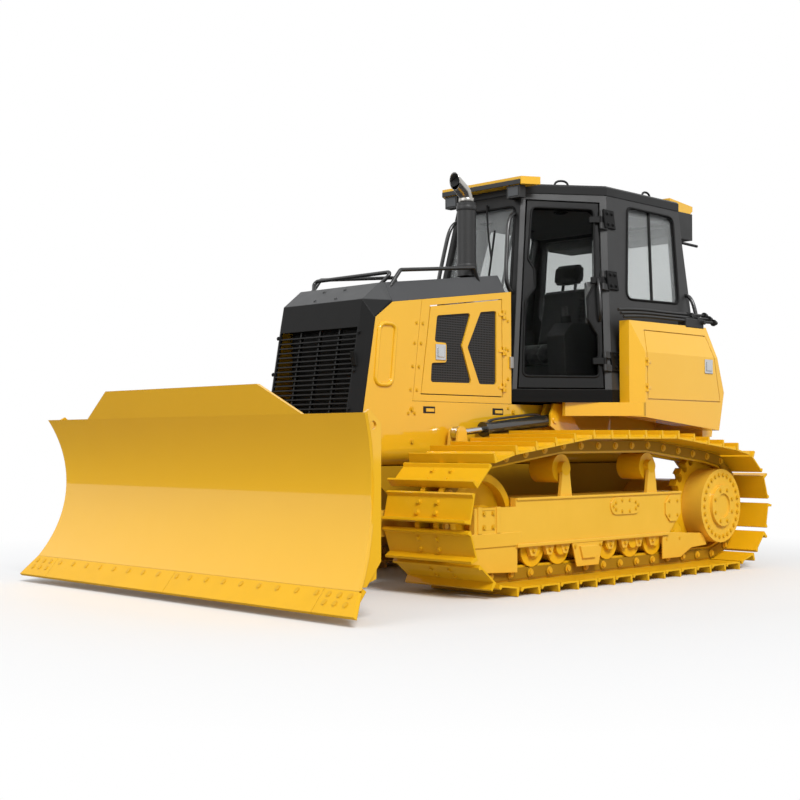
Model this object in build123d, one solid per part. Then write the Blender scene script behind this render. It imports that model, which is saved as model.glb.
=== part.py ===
from build123d import *

import math
import os

# A tracked bulldozer of the 11-tonne class on wide shoes for soft ground, with an angling and
# tilting blade on a C-shaped push frame. Millimetres. Z = 0 is the ground under the grousers,
# the machine faces -Y and +X is the driver's left.

# ---- Track chain and its wheels
TRACK_CENTRE = 950.0        # half of the gauge
LINK_PITCH = 190.0
LINK_COUNT = 38
SHOE_WIDTH = 700.0
SHOE_GAP = 8.0
PLATE_THICKNESS = 12.0
GROUSER_HEIGHT = 45.0
GROUSER_FOOT = 24.0
GROUSER_TIP = 15.0
LIP_HEIGHT = 16.0
PIN_TO_PLATE = 46.0
PIN_TO_TREAD = 48.0
RAIL_THICKNESS = 36.0
RAIL_OFFSET = 75.0
BUSHING_RADIUS = 30.0
SPROCKET_TEETH = 23
SPROCKET_Y = 1825.0
SPROCKET_WIDTH = 60.0
SPROCKET_TIP = 22.0         # tooth tip beyond the pin circle
SPROCKET_BORE = 250.0
IDLER_RADIUS = 280.5
IDLER_WIDTH = 112.0
IDLER_FLANGE = 18.0
CARRIER_RADIUS = 95.0      # of the arc the rails follow over it
CARRIERS = [(70.0, 748.0), (1030.0, 752.0)]     # Y, Z
ROLLER_RADIUS = 97.0
ROLLER_FLANGE = 15.0
ROLLER_COUNT = 7
ROLLER_FIRST_Y = -247.5
ROLLER_PITCH = 262.5
FIT = 0.3                   # between pieces that seat on each other

# ---- Track frame and final drive
FRAME_HALF = 150.0
FRAME_PLATE = 14.0
FRAME_TOP = 572.0
FRAME_CEILING = 385.0
FRAME_BOTTOM = 264.0
FRAME_FRONT_Y = -450.0
FRAME_REAR_Y = 1370.0
DRIVE_COVER_RADIUS = 268.0
DRIVE_COVER_REACH = 218.0   # outer face beyond the track's centre
DRIVE_HOUSING_RADIUS = 190.0
PIVOT_SHAFT_Y = 1130.0
PIVOT_SHAFT_Z = 450.0
PIVOT_SHAFT_RADIUS = 75.0

# ---- Drawbar
DRAWBAR_HALF = 90.0
DRAWBAR_Z = (430.0, 560.0)
DRAWBAR_PIN_Y = 2050.0
DRAWBAR_PIN_RADIUS = 25.5
DRAWBAR_PLATE = 35.0

# ---- Hull, nose and engine compartment
HULL_HALF = 450.0
HULL_BOTTOM = 765.0
HULL_TOP = 1178.0
HULL_REAR_Y = 2010.0
HULL_CORNER = 110.0
BELLY_HALF = 400.0
BELLY_BOTTOM = 395.0
PANEL = 18.0                # thickness of the nose and hood panels
NOSE_FOOT = (-1211.0, 1000.0)   # Y, Z of the leaning front face, low and high
NOSE_BROW = (-1066.0, 1808.0)
HOOD_FRONT = (-919.0, 1923.0)   # top of the visor, where the hood starts
HOOD_REAR = (225.0, 2070.0)
HOOD_REAR_FOOT_Y = 282.0
NOSE_JOINT = [(-706.0, 1080.0), (-610.0, 1814.0)]   # Y, Z of the joint behind the nose's side plates
HOOD_FLAT_HALF = 377.0      # half-width of the flat top
SHOULDER_FRONT = (-1030.0, 1695.0)  # lower edge of the sloped shoulder, at the hull's side
SHOULDER_MIDDLE = (-870.0, 1800.0)
SHOULDER_REAR = (280.0, 1955.0)
NOSE_CHAMFER = 56.0
MASK_REAR_Y = -872.0
GRILLE_HALF = 368.0
GRILLE_TOP = 1632.0
GRILLE_BOTTOM = 1050.0
SLAT_PITCH = 31.0
SLAT_DEPTH = 34.0
SLAT_THICKNESS = 7.0
MESH_CORNER = 18.0
MESH_THICKNESS = 4.0
DOOR_GAP = 6.0
ENGINE_HINGE = (458.0, 192.0)       # X, Y of the engine door's hinge axis
ENGINE_HINGE_HEIGHTS = [1290.0, 1540.0, 1790.0]
ENGINE_HINGE_RADIUS = 7.5
ENGINE_HINGE_HEIGHT = 60.0
ENGINE_DOOR = [(-523.0, 1796.0), (178.0, 1892.0), (185.0, 1230.0), (-612.0, 1229.0)]     # Y, Z
ENGINE_DOOR_WINDOWS = [
    [(-463.0, 1741.0), (-132.0, 1780.0), (-222.0, 1555.0), (-127.0, 1310.0), (-523.0, 1305.0), (-514.0, 1430.0),
     (-374.0, 1438.0), (-374.0, 1566.0), (-486.0, 1568.0)],
    [(-36.0, 1793.0), (125.0, 1812.0), (123.0, 1309.0), (-49.0, 1306.0), (-168.0, 1548.0)]]

# ---- Cab: a hexagon in plan, the front corners lean back along the doors
CAB_A = (450.0, 290.0)      # front corner at the floor
CAB_B = (872.0, 867.0)      # door hinge post
CAB_C = (872.0, 2005.0)     # rear corner
CAB_LEAN = 284.0            # of the door walls from sill to eaves
CAB_A_SLIDE = 136.0         # of the front corner and the post along the door wall meanwhile
CAB_B_SLIDE = 55.0
CAB_WALL = 55.0
CAB_FLOOR_BOTTOM = 1195.0
CAB_SILL = 1283.0
CAB_EAVES = 2700.0
ROOF_TOP = 2770.0
ROOF_OVERHANG = 4.0
ROOF_CHAMFER = 12.0
VISOR_BOTTOM = 2745.0
VISOR_TOP = 2800.0
VISOR_FRONT = (380.0, 475.0)    # X, Y of the front brow's corners
VISOR_REAR = (455.0, 600.0)
REAR_VISOR_HALF = 600.0
REAR_VISOR_LENGTH = 320.0
REAR_VISOR_BOTTOM = 2724.0
LAMP_X = 300.0
LAMP_HEIGHT = 90.0
REAR_LAMP_BOTTOM = 2515.0
GLASS = 6.0
WINDOW_RADIUS = 60.0
DOOR_WINDOW_RADIUS = 38.0
CAB_DOOR_GAP = 10.0
# Outlines on the cab's walls: along the wall from its first corner, up from the sill.
WINDSCREEN = [(70.0, 70.0), (830.0, 70.0), (715.0, 1350.0), (185.0, 1350.0)]
DOOR = [(45.0, 12.0), (655.0, 12.0), (705.0, 1380.0), (180.0, 1390.0)]
DOOR_WINDOW = [(80.0, 93.0), (628.0, 92.0), (640.0, 394.0), (572.0, 520.0), (575.0, 667.0), (640.0, 779.0),
               (668.0, 1335.0), (212.0, 1340.0), (162.0, 950.0), (206.0, 872.0), (202.0, 737.0), (125.0, 636.0)]
QUARTER_WINDOW = [(306.0, 672.0), (985.0, 688.0), (1050.0, 1370.0), (458.0, 1374.0)]
REAR_WINDOW = [(210.0, 640.0), (1534.0, 640.0), (1480.0, 1300.0), (264.0, 1300.0)]
CAB_HINGE = (50.0, 20.0)    # the door's hinge axis: before the post's edge, and out from the wall
CAB_HINGE_PLACES = [199.0, 793.0, 1249.0]       # up the post from the sill
CAB_HINGE_RADIUS = 14.0
CAB_HINGE_HEIGHT = 140.0

# ---- Platform and side consoles
PLATFORM_BOTTOM = 1100.0
PLATFORM_INNER_CORNER = (652.0, 620.0)      # X, Y of the front edge beside the lift bracket
CONSOLE_OUTER = 1040.0
CONSOLE_GAP = 6.0
CONSOLE_FRONT = 948.0
CONSOLE_TOP = 1772.0
CONSOLE_CREASE = 1548.0     # the side leans inwards above this height
CONSOLE_LEAN = 80.0         # and its front corner is cut off by as much
CONSOLE_REAR = [(1937.0, 1778.0), (1961.0, 1549.0), (2050.0, 1290.0), (1979.0, 1006.0)]     # Y, Z
CONSOLE_FOOT = 1098.0
CONSOLE_DOOR = [(1062.0, 1223.0), (1052.0, 1548.0), (1099.0, 1705.0), (1886.0, 1706.0), (1914.0, 1548.0),
                (1992.0, 1223.0)]
CONSOLE_DOOR_THICKNESS = 14.0
CONSOLE_HINGE = (1048.5, 1050.0)     # X, Y of the service door's hinge axis
CONSOLE_HINGE_HEIGHTS = [1300.0, 1480.0]
CONSOLE_HINGE_RADIUS = 7.5
CONSOLE_HINGE_HEIGHT = 60.0
TANK_BOTTOM = 960.0
TANK_TOP = 1740.0
TANK_REAR_Y = 2200.0

# ---- Engine
RADIATOR_HALF = 365.0
RADIATOR_Y = (-1000.0, -880.0)
RADIATOR_TOP = 1740.0
ENGINE_HALF = 280.0
ENGINE_Y = (-820.0, 150.0)
ENGINE_TOP = 1700.0

# ---- Driver's seat
SEAT_Y = 1230.0
SEAT_TOP = 1640.0

# ---- Exhaust and rails
STACK_X = 300.0
STACK_Y = -10.0
STACK_GUARD_RADIUS = 65.0
STACK_GUARD_TOP = 2552.0
ELBOW_RADIUS = 47.0
ELBOW_WALL = 4.0
RAIL_RADIUS = 13.0
RAIL_X = 378.0
RAIL_FRONT_Y = -800.0
RAIL_SIDE = (-840.0, 20.0)
RAIL_SIDE_X = 384.0

# ---- Push frame, yoke and blade
TRUNNION_Y = 790.0
TRUNNION_Z = 420.0
TRUNNION_RADIUS = 45.0
RUNNING_FIT = 0.05
ARM_INNER = 487.0
ARM_OUTER = 573.0
ARM_HEIGHT = 160.0
ARM_BEND_Y = -1260.0
KING_Y = -1740.0
KING_BOTTOM = 300.0
KING_TOP = 720.0
KING_RADIUS = 40.0
KING_EAR = 80.0             # radius of the push frame's ears round the king pin
KING_EAR_HEIGHT = 70.0
NOSE_HALF = 120.0
YOKE_PLATE_Y = -1840.0      # rear face of the yoke's plate
YOKE_PLATE = 40.0
HORN_X = 350.0
HORN_Y = -1740.0
HORN_Z = 620.0
TILT_Z = 510.0
TILT_RADIUS = 60.0
EDGE_TIP = (-2288.0, 54.0)  # Y, Z down the blade's front
EDGE_SEAM = (-2192.0, 169.0)
BLADE_BELLY = (-2033.0, 615.0)
BLADE_SHOULDER = (-2138.0, 1063.0)
BLADE_CROWN = (-2200.0, 1230.0)
EDGE_HALF = 1606.0          # half-widths at the same heights
SEAM_HALF = 1541.0
BELLY_HALF_WIDTH = 1466.0
SHOULDER_HALF = 1524.0
SHOULDER_INNER = 1042.0
CROWN_HALF = 741.0
MOLDBOARD = 22.0
RIB_FACE = 1473.0
RIB_PLATE = 18.0
RIB_REAR_Y = -1968.0
CUTTING_EDGE = 22.0
EDGE_SECTION = 1290.0       # length of each middle section of the edge
LIFTING_EYE = (-2025.0, 1000.0)     # Y, Z of the hole in each end rib
LIFTING_EYE_RADIUS = 22.0

# ---- Cylinders: lift (two), angle (two) and tilt
LIFT_X = 535.0
LIFT_REAR = (595.0, 1070.0)     # Y, Z
LIFT_FRONT = (-362.0, 977.0)
LIFT_BARREL_LENGTH = 712.0
LIFT_BARREL_RADIUS = 45.0
LIFT_ROD_RADIUS = 22.0
ANGLE_REAR = (550.0, -1180.0)   # X, Y
ANGLE_BARREL_LENGTH = 408.0
ANGLE_BARREL_RADIUS = 42.0
ANGLE_ROD_RADIUS = 22.0
TILT_CYLINDER_Y = -1905.0
TILT_REAR = (250.0, 800.0)      # X, Z
TILT_FRONT = (-440.0, 860.0)
TILT_BARREL_LENGTH = 560.0
TILT_BARREL_RADIUS = 40.0
TILT_ROD_RADIUS = 20.0
EYE_WIDTH = 46.0
EYE_MARGIN = 20.0           # metal round a pin
CHEEK = 16.0
PIN_RADIUS = 22.0
EYE_GAP = 5.0               # beside an eye in its fork
BLADE_RAISE = 16.5          # degrees of the blade's motions
BLADE_LOWER = 8.0
BLADE_SWING = 25.0
BLADE_TILT = 8.0

FRAME_INNER = TRACK_CENTRE - FRAME_HALF
FRAME_OUTER = TRACK_CENTRE + FRAME_HALF
DRIVE_COVER_FACE = TRACK_CENTRE + DRIVE_COVER_REACH
pin_height = PIN_TO_PLATE + PLATE_THICKNESS + GROUSER_HEIGHT
sprocket_pin_radius = LINK_PITCH / (2 * math.sin(2 * math.pi / SPROCKET_TEETH))
sprocket_z = pin_height + sprocket_pin_radius
idler_pin_radius = math.hypot(IDLER_RADIUS + PIN_TO_TREAD, LINK_PITCH / 2)
idler_z = pin_height + idler_pin_radius
roller_z = pin_height + PIN_TO_TREAD + ROLLER_RADIUS + FIT
eye_radius = PIN_RADIUS + EYE_MARGIN
fork_half = EYE_WIDTH / 2 + EYE_GAP
console_door_back = CONSOLE_OUTER - CONSOLE_LEAN - 30


def outline(points, radius=0.0, margin=0.0):
    """A closed flat face through points, its corners rounded, then grown by a margin."""
    face = make_face(Polyline(*points, close=True))
    if radius:
        face = fillet(face.vertices(), radius)
    if margin:
        face = offset(face, amount=margin, kind=Kind.INTERSECTION)
    return face


def slab_x(points, low, high, radius=0.0, margin=0.0):
    """A flat outline in Y, Z, thick from X = low to high."""
    face = Plane.YZ.offset(low) * outline(points, radius, margin)
    return extrude(face, amount=high - low, dir=(1, 0, 0))


def slab_y(points, low, high):
    """A flat outline in X, Z, thick from Y = low to high."""
    face = Plane.XZ.offset(-low) * outline(points)
    return extrude(face, amount=high - low, dir=(0, 1, 0))


def slab_z(points, low, high):
    """A flat outline in X, Y, thick from Z = low to high."""
    face = Plane.XY.offset(low) * outline(points)
    return extrude(face, amount=high - low, dir=(0, 0, 1))


def block(x, y, z):
    """A box between the limits in each pair."""
    return slab_z([(x[0], y[0]), (x[1], y[0]), (x[1], y[1]), (x[0], y[1])], z[0], z[1])


def bar(start, end, radius):
    """A round bar from one point to another."""
    axis = Vector(*end) - Vector(*start)
    return extrude(Plane(origin=start, z_dir=axis) * Circle(radius), amount=axis.length)


def cross_bar(y, z, radius, low, high):
    """A round bar along X."""
    return bar((low, y, z), (high, y, z), radius)


def trimmed(solid, point, outwards):
    """What lies on the inner side of a plane."""
    return split(solid, bisect_by=Plane(origin=point, z_dir=outwards), keep=Keep.BOTTOM)


def both_sides(solid):
    """The piece and its mirror image on the machine's other side."""
    return [solid, mirror(solid, Plane.YZ)]


def belt_pieces(wheels):
    """Arcs and straight spans of a belt that runs counter-clockwise round wheels given as Y, Z, radius."""
    headings = []
    for (y0, z0, r0), (y1, z1, r1) in zip(wheels, wheels[1:] + wheels[:1]):
        run = math.hypot(y1 - y0, z1 - z0)
        headings.append(math.atan2(z1 - z0, y1 - y0) + math.asin((r0 - r1) / run))
    pieces = []
    for i, (y, z, radius) in enumerate(wheels):
        arrive = headings[i - 1] - math.pi / 2
        turn = (headings[i] - headings[i - 1]) % (2 * math.pi)
        pieces.append(("arc", radius * turn, (y, z), radius, arrive))
        leave = (y + radius * math.sin(headings[i]), z - radius * math.cos(headings[i]))
        y1, z1, r1 = wheels[(i + 1) % len(wheels)]
        reach = (y1 + r1 * math.sin(headings[i]), z1 - r1 * math.cos(headings[i]))
        pieces.append(("span", math.dist(leave, reach), leave, None, headings[i]))
    return pieces


def belt_point(pieces, distance):
    """The point of the belt that lies a distance along it."""
    for kind, length, origin, radius, angle in pieces:
        if distance <= length:
            break
        distance -= length
    if kind == "arc":
        turned = angle + distance / radius
        return (origin[0] + radius * math.cos(turned), origin[1] + radius * math.sin(turned))
    return (origin[0] + distance * math.cos(angle), origin[1] + distance * math.sin(angle))


def chain_pins(idler_y):
    """Pins one pitch apart along the belt from the sprocket's lowest point, and the slack left over."""
    wheels = [(SPROCKET_Y, sprocket_z, sprocket_pin_radius)]
    wheels += [(y, z, CARRIER_RADIUS + PIN_TO_TREAD) for y, z in reversed(CARRIERS)]
    wheels += [(idler_y, idler_z, idler_pin_radius)]
    pieces = belt_pieces(wheels)
    girth = sum(piece[1] for piece in pieces)
    pins = []
    distance = 0.0
    for _ in range(LINK_COUNT):
        pin = belt_point(pieces, distance)
        pins.append(pin)
        low, high = distance + LINK_PITCH * 0.99, distance + LINK_PITCH * 1.08
        for _ in range(40):
            middle = (low + high) / 2
            if math.dist(pin, belt_point(pieces, middle % girth)) < LINK_PITCH:
                low = middle
            else:
                high = middle
        distance = high
    return pins, distance - girth


def tensioned_chain():
    """The idler's place, as its adjuster leaves it with the chain just tight, and the pins."""
    near, far = SPROCKET_Y - 2300.0, SPROCKET_Y - 2700.0
    for _ in range(30):
        idler_y = (near + far) / 2
        if chain_pins(idler_y)[1] > 0:
            near = idler_y
        else:
            far = idler_y
    return idler_y, chain_pins(idler_y)[0]


idler_y, pins = tensioned_chain()


def link_frame(index):
    """Origin, direction along a link and direction outwards."""
    start, end = pins[index], pins[(index + 1) % len(pins)]
    along = ((end[0] - start[0]) / LINK_PITCH, (end[1] - start[1]) / LINK_PITCH)
    return start, along, (along[1], -along[0])


def on_link(index, along, out):
    """Y, Z of a point given along a link and outwards from its pin line."""
    start, ahead, away = link_frame(index)
    return (start[0] + ahead[0] * along + away[0] * out, start[1] + ahead[1] * along + away[1] * out)


def rail_ring(out):
    """Corners of a ring of straight links at one height over the pins."""
    corners = []
    for i in range(LINK_COUNT):
        _, _, before = link_frame(i - 1)
        start, _, after = link_frame(i)
        half = math.hypot(before[0] + after[0], before[1] + after[1]) / 2
        reach = out / half ** 2 / 2
        corners.append((start[0] + (before[0] + after[0]) * reach, start[1] + (before[1] + after[1]) * reach))
    return corners


def track():
    """One chain: two rails of links, their bushings, and a shoe with a single grouser on each link."""
    plate_face = PIN_TO_PLATE + PLATE_THICKNESS
    shoe = [        # along the link, out from the pins
        (SHOE_GAP / 2, PIN_TO_PLATE),
        (SHOE_GAP / 2, plate_face + LIP_HEIGHT * 0.6),
        (SHOE_GAP / 2 + 12, plate_face + LIP_HEIGHT),
        (SHOE_GAP / 2 + 30, plate_face),
        (LINK_PITCH - SHOE_GAP / 2 - GROUSER_FOOT, plate_face),
        (LINK_PITCH - SHOE_GAP / 2 - GROUSER_TIP, plate_face + GROUSER_HEIGHT),
        (LINK_PITCH - SHOE_GAP / 2, plate_face + GROUSER_HEIGHT),
        (LINK_PITCH - SHOE_GAP / 2, PIN_TO_PLATE),
    ]
    left, right = TRACK_CENTRE - SHOE_WIDTH / 2, TRACK_CENTRE + SHOE_WIDTH / 2
    solids = [slab_x([on_link(i, *point) for point in shoe], left, right) for i in range(LINK_COUNT)]
    for side in (-1, 1):
        centre = TRACK_CENTRE + side * RAIL_OFFSET
        low, high = centre - RAIL_THICKNESS / 2, centre + RAIL_THICKNESS / 2
        ring = slab_x(rail_ring(PIN_TO_PLATE - FIT), low, high)
        solids.append(ring - slab_x(rail_ring(-PIN_TO_TREAD), low, high))
    return Compound(children=solids)


def wheel(y, z, steps):
    """Coaxial steps along X given as low, high, radius, fused."""
    solid = cross_bar(y, z, steps[0][2], steps[0][0], steps[0][1])
    for low, high, radius in steps[1:]:
        solid += cross_bar(y, z, radius, low, high)
    return solid


def sprocket():
    """A ring whose gullets seat every bushing; the teeth between are hunting teeth."""
    low, high = TRACK_CENTRE - SPROCKET_WIDTH / 2, TRACK_CENTRE + SPROCKET_WIDTH / 2
    ring = Circle(sprocket_pin_radius + SPROCKET_TIP) - Circle(SPROCKET_BORE)
    for i in range(SPROCKET_TEETH):
        angle = -90 + i * 360 / SPROCKET_TEETH
        ring -= Rot(0, 0, angle) * Pos(sprocket_pin_radius, 0) * Circle(BUSHING_RADIUS + FIT * 6)
    ring = Plane(origin=(low, SPROCKET_Y, sprocket_z), x_dir=(0, 1, 0), z_dir=(1, 0, 0)) * ring
    return extrude(ring, amount=high - low)


def idler():
    """A wheel that runs between the rails on its centre flange, with treads and a hub each side."""
    middle = TRACK_CENTRE
    tread = RAIL_OFFSET + RAIL_THICKNESS / 2
    solid = wheel(idler_y, idler_z, [
        (middle - tread, middle + tread, IDLER_RADIUS - FIT),
        (middle - IDLER_WIDTH / 2, middle + IDLER_WIDTH / 2, IDLER_RADIUS + IDLER_FLANGE)])
    for low, high in ((middle - tread, middle - 30), (middle + 30, middle + tread)):
        solid -= cross_bar(idler_y, idler_z, IDLER_RADIUS - 46, low, high)
    solid += cross_bar(idler_y, idler_z, 92, middle - tread - 8, middle + tread + 8)
    return solid


def track_roller(y):
    """A bottom roller: two treads, outer flanges and the collars on its shaft."""
    middle = TRACK_CENTRE
    tread = RAIL_OFFSET + RAIL_THICKNESS / 2 + 3
    return wheel(y, roller_z, [
        (middle - tread, middle + tread, ROLLER_RADIUS),
        (middle - tread - 14, middle - tread, ROLLER_RADIUS + ROLLER_FLANGE),
        (middle + tread, middle + tread + 14, ROLLER_RADIUS + ROLLER_FLANGE),
        (FRAME_INNER + FRAME_PLATE + FIT, FRAME_OUTER - FRAME_PLATE - FIT, 50)])


def rail_clearance(y, z):
    """Distance from a point inside the chain to the nearest link's running face."""
    corners = [Vector(*corner, 0) for corner in rail_ring(-PIN_TO_TREAD)]
    return min(Edge.make_line(a, b).distance_to(Vertex(y, z, 0)) for a, b in zip(corners, corners[1:]))


def carrier_roller(y, z):
    """A top roller on a shaft that stands out from its bracket."""
    middle = TRACK_CENTRE
    tread = RAIL_OFFSET + RAIL_THICKNESS / 2 + 3
    return wheel(y, z, [
        (middle - tread, middle + tread, rail_clearance(y, z) - FIT),
        (middle - tread - 10, middle + tread + 40, 45)])


def track_frame():
    """An inverted channel over the rollers, with the idler's guides, roller guards and roller brackets."""
    rear_corner = [(FRAME_REAR_Y - 170, FRAME_BOTTOM), (FRAME_REAR_Y - 20, FRAME_BOTTOM + 150)]
    shape = [(FRAME_FRONT_Y, FRAME_BOTTOM), *rear_corner, (FRAME_REAR_Y, FRAME_TOP), (FRAME_FRONT_Y, FRAME_TOP)]
    frame = slab_x(shape, FRAME_INNER, FRAME_OUTER)
    frame -= block((FRAME_INNER + FRAME_PLATE, FRAME_OUTER - FRAME_PLATE),
                   (FRAME_FRONT_Y - 1, FRAME_REAR_Y + 1), (FRAME_BOTTOM - 1, FRAME_CEILING))
    for low, high in ((FRAME_INNER, FRAME_INNER + 40), (FRAME_OUTER - 40, FRAME_OUTER)):
        frame += block((low, high), (idler_y - 130, FRAME_FRONT_Y), (360, 520))
        frame -= block((low - 1, high + 1), (idler_y - 60, idler_y + 60), (idler_z - 60, idler_z + 60))
    reach = IDLER_RADIUS + IDLER_FLANGE + 12
    frame -= cross_bar(idler_y, idler_z, reach, TRACK_CENTRE - 105, TRACK_CENTRE + 105)
    for y, z in CARRIERS:
        foot = [(y - 60, FRAME_TOP), (y + 60, FRAME_TOP), (y + 34, z), (y - 34, z)]
        frame += slab_x(foot, TRACK_CENTRE + 112, TRACK_CENTRE + 136)
        frame -= cross_bar(y, z, 45 + FIT, TRACK_CENTRE + 100, TRACK_CENTRE + 140)
    return frame


def idler_blocks():
    """The bearing block that slides in the idler's guides, one each side."""
    blocks = []
    hub = RAIL_OFFSET + RAIL_THICKNESS / 2 + 8 + FIT
    for low, high in ((FRAME_INNER + 2, TRACK_CENTRE - hub), (TRACK_CENTRE + hub, FRAME_OUTER - 2)):
        blocks.append(block((low, high), (idler_y - 60 + FIT, idler_y + 60 - FIT),
                            (idler_z - 60 + FIT, idler_z + 60 - FIT)))
    return blocks


def final_drive():
    """The reduction gear's housing from the hull to the sprocket, and its outer cover."""
    low, high = TRACK_CENTRE - SPROCKET_WIDTH / 2, TRACK_CENTRE + SPROCKET_WIDTH / 2
    drive = wheel(SPROCKET_Y, sprocket_z, [
        (BELLY_HALF + FIT, low - 40, DRIVE_HOUSING_RADIUS),
        (low - 40, low, SPROCKET_BORE + 20),
        (low, high, SPROCKET_BORE - FIT),
        (high, DRIVE_COVER_FACE - 22, DRIVE_COVER_RADIUS)])
    face = DRIVE_COVER_FACE - 22
    drive += cross_bar(SPROCKET_Y, sprocket_z, 150, face, DRIVE_COVER_FACE)
    drive -= cross_bar(SPROCKET_Y, sprocket_z, 88, DRIVE_COVER_FACE - 14, DRIVE_COVER_FACE + 1)
    return drive


# ---- Hull, nose and hood

def facing(point, other, low_point):
    """Outward normal of a plane through three points of the left side, pointing up and out."""
    a = Vector(*other) - Vector(*point)
    b = Vector(*low_point) - Vector(*point)
    normal = a.cross(b).normalized()
    return normal if normal.Z > 0 else -normal


def engine_cover(inset):
    """The closed outer form of nose and hood, moved inwards by a wall's thickness."""
    half = HULL_HALF - inset
    form = block((-half, half), (-1400, HOOD_REAR_FOOT_Y), (HULL_TOP - 400, 2300))
    lean = Vector(0, NOSE_FOOT[1] - NOSE_BROW[1], NOSE_BROW[0] - NOSE_FOOT[0]).normalized()
    brow = Vector(0, NOSE_BROW[1] - HOOD_FRONT[1], HOOD_FRONT[0] - NOSE_BROW[0]).normalized()
    top = Vector(0, HOOD_FRONT[1] - HOOD_REAR[1], HOOD_REAR[0] - HOOD_FRONT[0]).normalized()
    for place, normal in ((NOSE_BROW, lean), (NOSE_BROW, brow), (HOOD_FRONT, top)):
        form = trimmed(form, Vector(0, *place) - normal * inset, normal)
    brow_corner = (HOOD_FLAT_HALF, *NOSE_BROW)
    top_corner = (HOOD_FLAT_HALF, *HOOD_FRONT)
    rear_corner = (HOOD_FLAT_HALF, *HOOD_REAR)
    facet = facing(brow_corner, top_corner, (HULL_HALF, *SHOULDER_FRONT))
    shoulder = facing(top_corner, rear_corner, (HULL_HALF, *SHOULDER_MIDDLE))
    swept = HULL_HALF - HOOD_FLAT_HALF
    cheek = Vector(NOSE_CHAMFER, -swept, lean.Z * swept / -lean.Y).normalized()
    for point, normal in ((brow_corner, facet), (top_corner, shoulder), (brow_corner, cheek)):
        for side in (-1, 1):
            outwards = Vector(normal.X * side, normal.Y, normal.Z)
            place = Vector(point[0] * side, point[1], point[2]) - outwards * inset
            form = trimmed(form, place, outwards)
    return form


def side_outline(low):
    """Y, Z of the flat part of the nose and hood side, behind the front plate and under the shoulder."""
    slope = (NOSE_BROW[0] - NOSE_FOOT[0]) / (NOSE_BROW[1] - NOSE_FOOT[1])
    set_back = NOSE_CHAMFER + 10
    return [
        (NOSE_BROW[0] - (NOSE_BROW[1] - low) * slope + set_back, low),
        (SHOULDER_FRONT[0] + 10, SHOULDER_FRONT[1]),
        SHOULDER_MIDDLE,
        SHOULDER_REAR,
        (HOOD_REAR_FOOT_Y, low)]


def hood_shell():
    return engine_cover(0) - engine_cover(PANEL)


def before_joint(margin):
    """Y, Z of all that lies before the slanted joint behind the nose, moved back by a margin."""
    (y0, z0), (y1, z1) = NOSE_JOINT
    slope = (y1 - y0) / (z1 - z0)
    foot = HULL_BOTTOM
    return [(NOSE_FOOT[0] * 2, foot), (y0 + (foot - z0) * slope + margin, foot),
            (y1 + (z1 - foot) * slope + margin, 2 * z1 - foot), (NOSE_FOOT[0] * 2, 2 * z1 - foot)]


def side_panels(low):
    """The left flat side wall of the nose and hood, above a height."""
    return slab_x(side_outline(low), HULL_HALF - PANEL, HULL_HALF)


def hull_case(margin):
    """The case's closed form behind the leaning nose, its front moved forward by a margin."""
    body = block((-HULL_HALF, HULL_HALF), (-1300, HULL_REAR_Y), (HULL_BOTTOM, HULL_TOP))
    slope = (NOSE_BROW[0] - NOSE_FOOT[0]) / (NOSE_BROW[1] - NOSE_FOOT[1])
    front = NOSE_BROW[0] - (NOSE_BROW[1] - HULL_BOTTOM) * slope + NOSE_CHAMFER + 10
    return trimmed(body, (0, front - margin, HULL_BOTTOM), Vector(0, -1, slope).normalized())


def hull():
    """The welded main case: rounded lower edges and the nose's side plates."""
    body = hull_case(0)
    body = fillet(body.edges().filter_by(Axis.Y).group_by(Axis.Z)[0], HULL_CORNER)
    hollow = block((-HULL_HALF + PANEL, HULL_HALF - PANEL), (-1300, NOSE_JOINT[0][0] - 14), (1010, 1300))
    body -= hollow
    for panel in both_sides(side_panels(HULL_TOP - 20) & slab_x(before_joint(0), 0, HULL_HALF)):
        body += panel
    return body


def lift_brackets():
    """Two cheeks each side that hold the rear pin of a lift cylinder, welded to the hull's side."""
    y, z = LIFT_REAR
    top, under = PLATFORM_BOTTOM + 85, PLATFORM_BOTTOM - FIT
    rear = PLATFORM_INNER_CORNER[1] + 100 - FIT
    shape = [(y - 45, z - 40), (y - 45, z + 40), (y - 10, top), (rear, top), (rear, under), (y + 200, under),
             (y + 330, 960), (y + 250, 905), (y + 90, 960)]
    inner, outer = LIFT_X - fork_half, LIFT_X + fork_half
    solid = slab_x(shape, inner - CHEEK, inner) + slab_x(shape, outer, outer + CHEEK)
    solid += cross_bar(y, z, eye_radius, inner - CHEEK, inner)
    solid += cross_bar(y, z, eye_radius, outer, outer + CHEEK)
    solid += block((HULL_HALF + FIT, outer), (y + 130, y + 160), (975, under))
    solid += cross_bar(y, z, PIN_RADIUS, inner - CHEEK, outer + CHEEK + 8)
    return both_sides(solid)


def mask():
    """The front plate with its grille opening, brow and corner facets in one pressed cover."""
    cover = hood_shell() & block((-500, 500), (-1400, MASK_REAR_Y), (NOSE_FOOT[1] - 90, 2300))
    for side in both_sides(slab_x(side_outline(HULL_TOP - 20), HULL_HALF - PANEL - 1, HULL_HALF + 1)):
        cover -= side
    cover -= hull_case(FIT)
    cover -= block((-GRILLE_HALF, GRILLE_HALF), (-1400, NOSE_BROW[0] + 60), (GRILLE_BOTTOM, GRILLE_TOP))
    return cover


def hood_top():
    """The flat top and the sloped shoulders behind the brow."""
    cover = hood_shell() & block((-500, 500), (MASK_REAR_Y + 2, HOOD_REAR[0]), (1500, 2300))
    for side in both_sides(slab_x(side_outline(HULL_TOP - 20), HULL_HALF - PANEL - 1, HULL_HALF + 1)):
        cover -= side
    return cover


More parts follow.
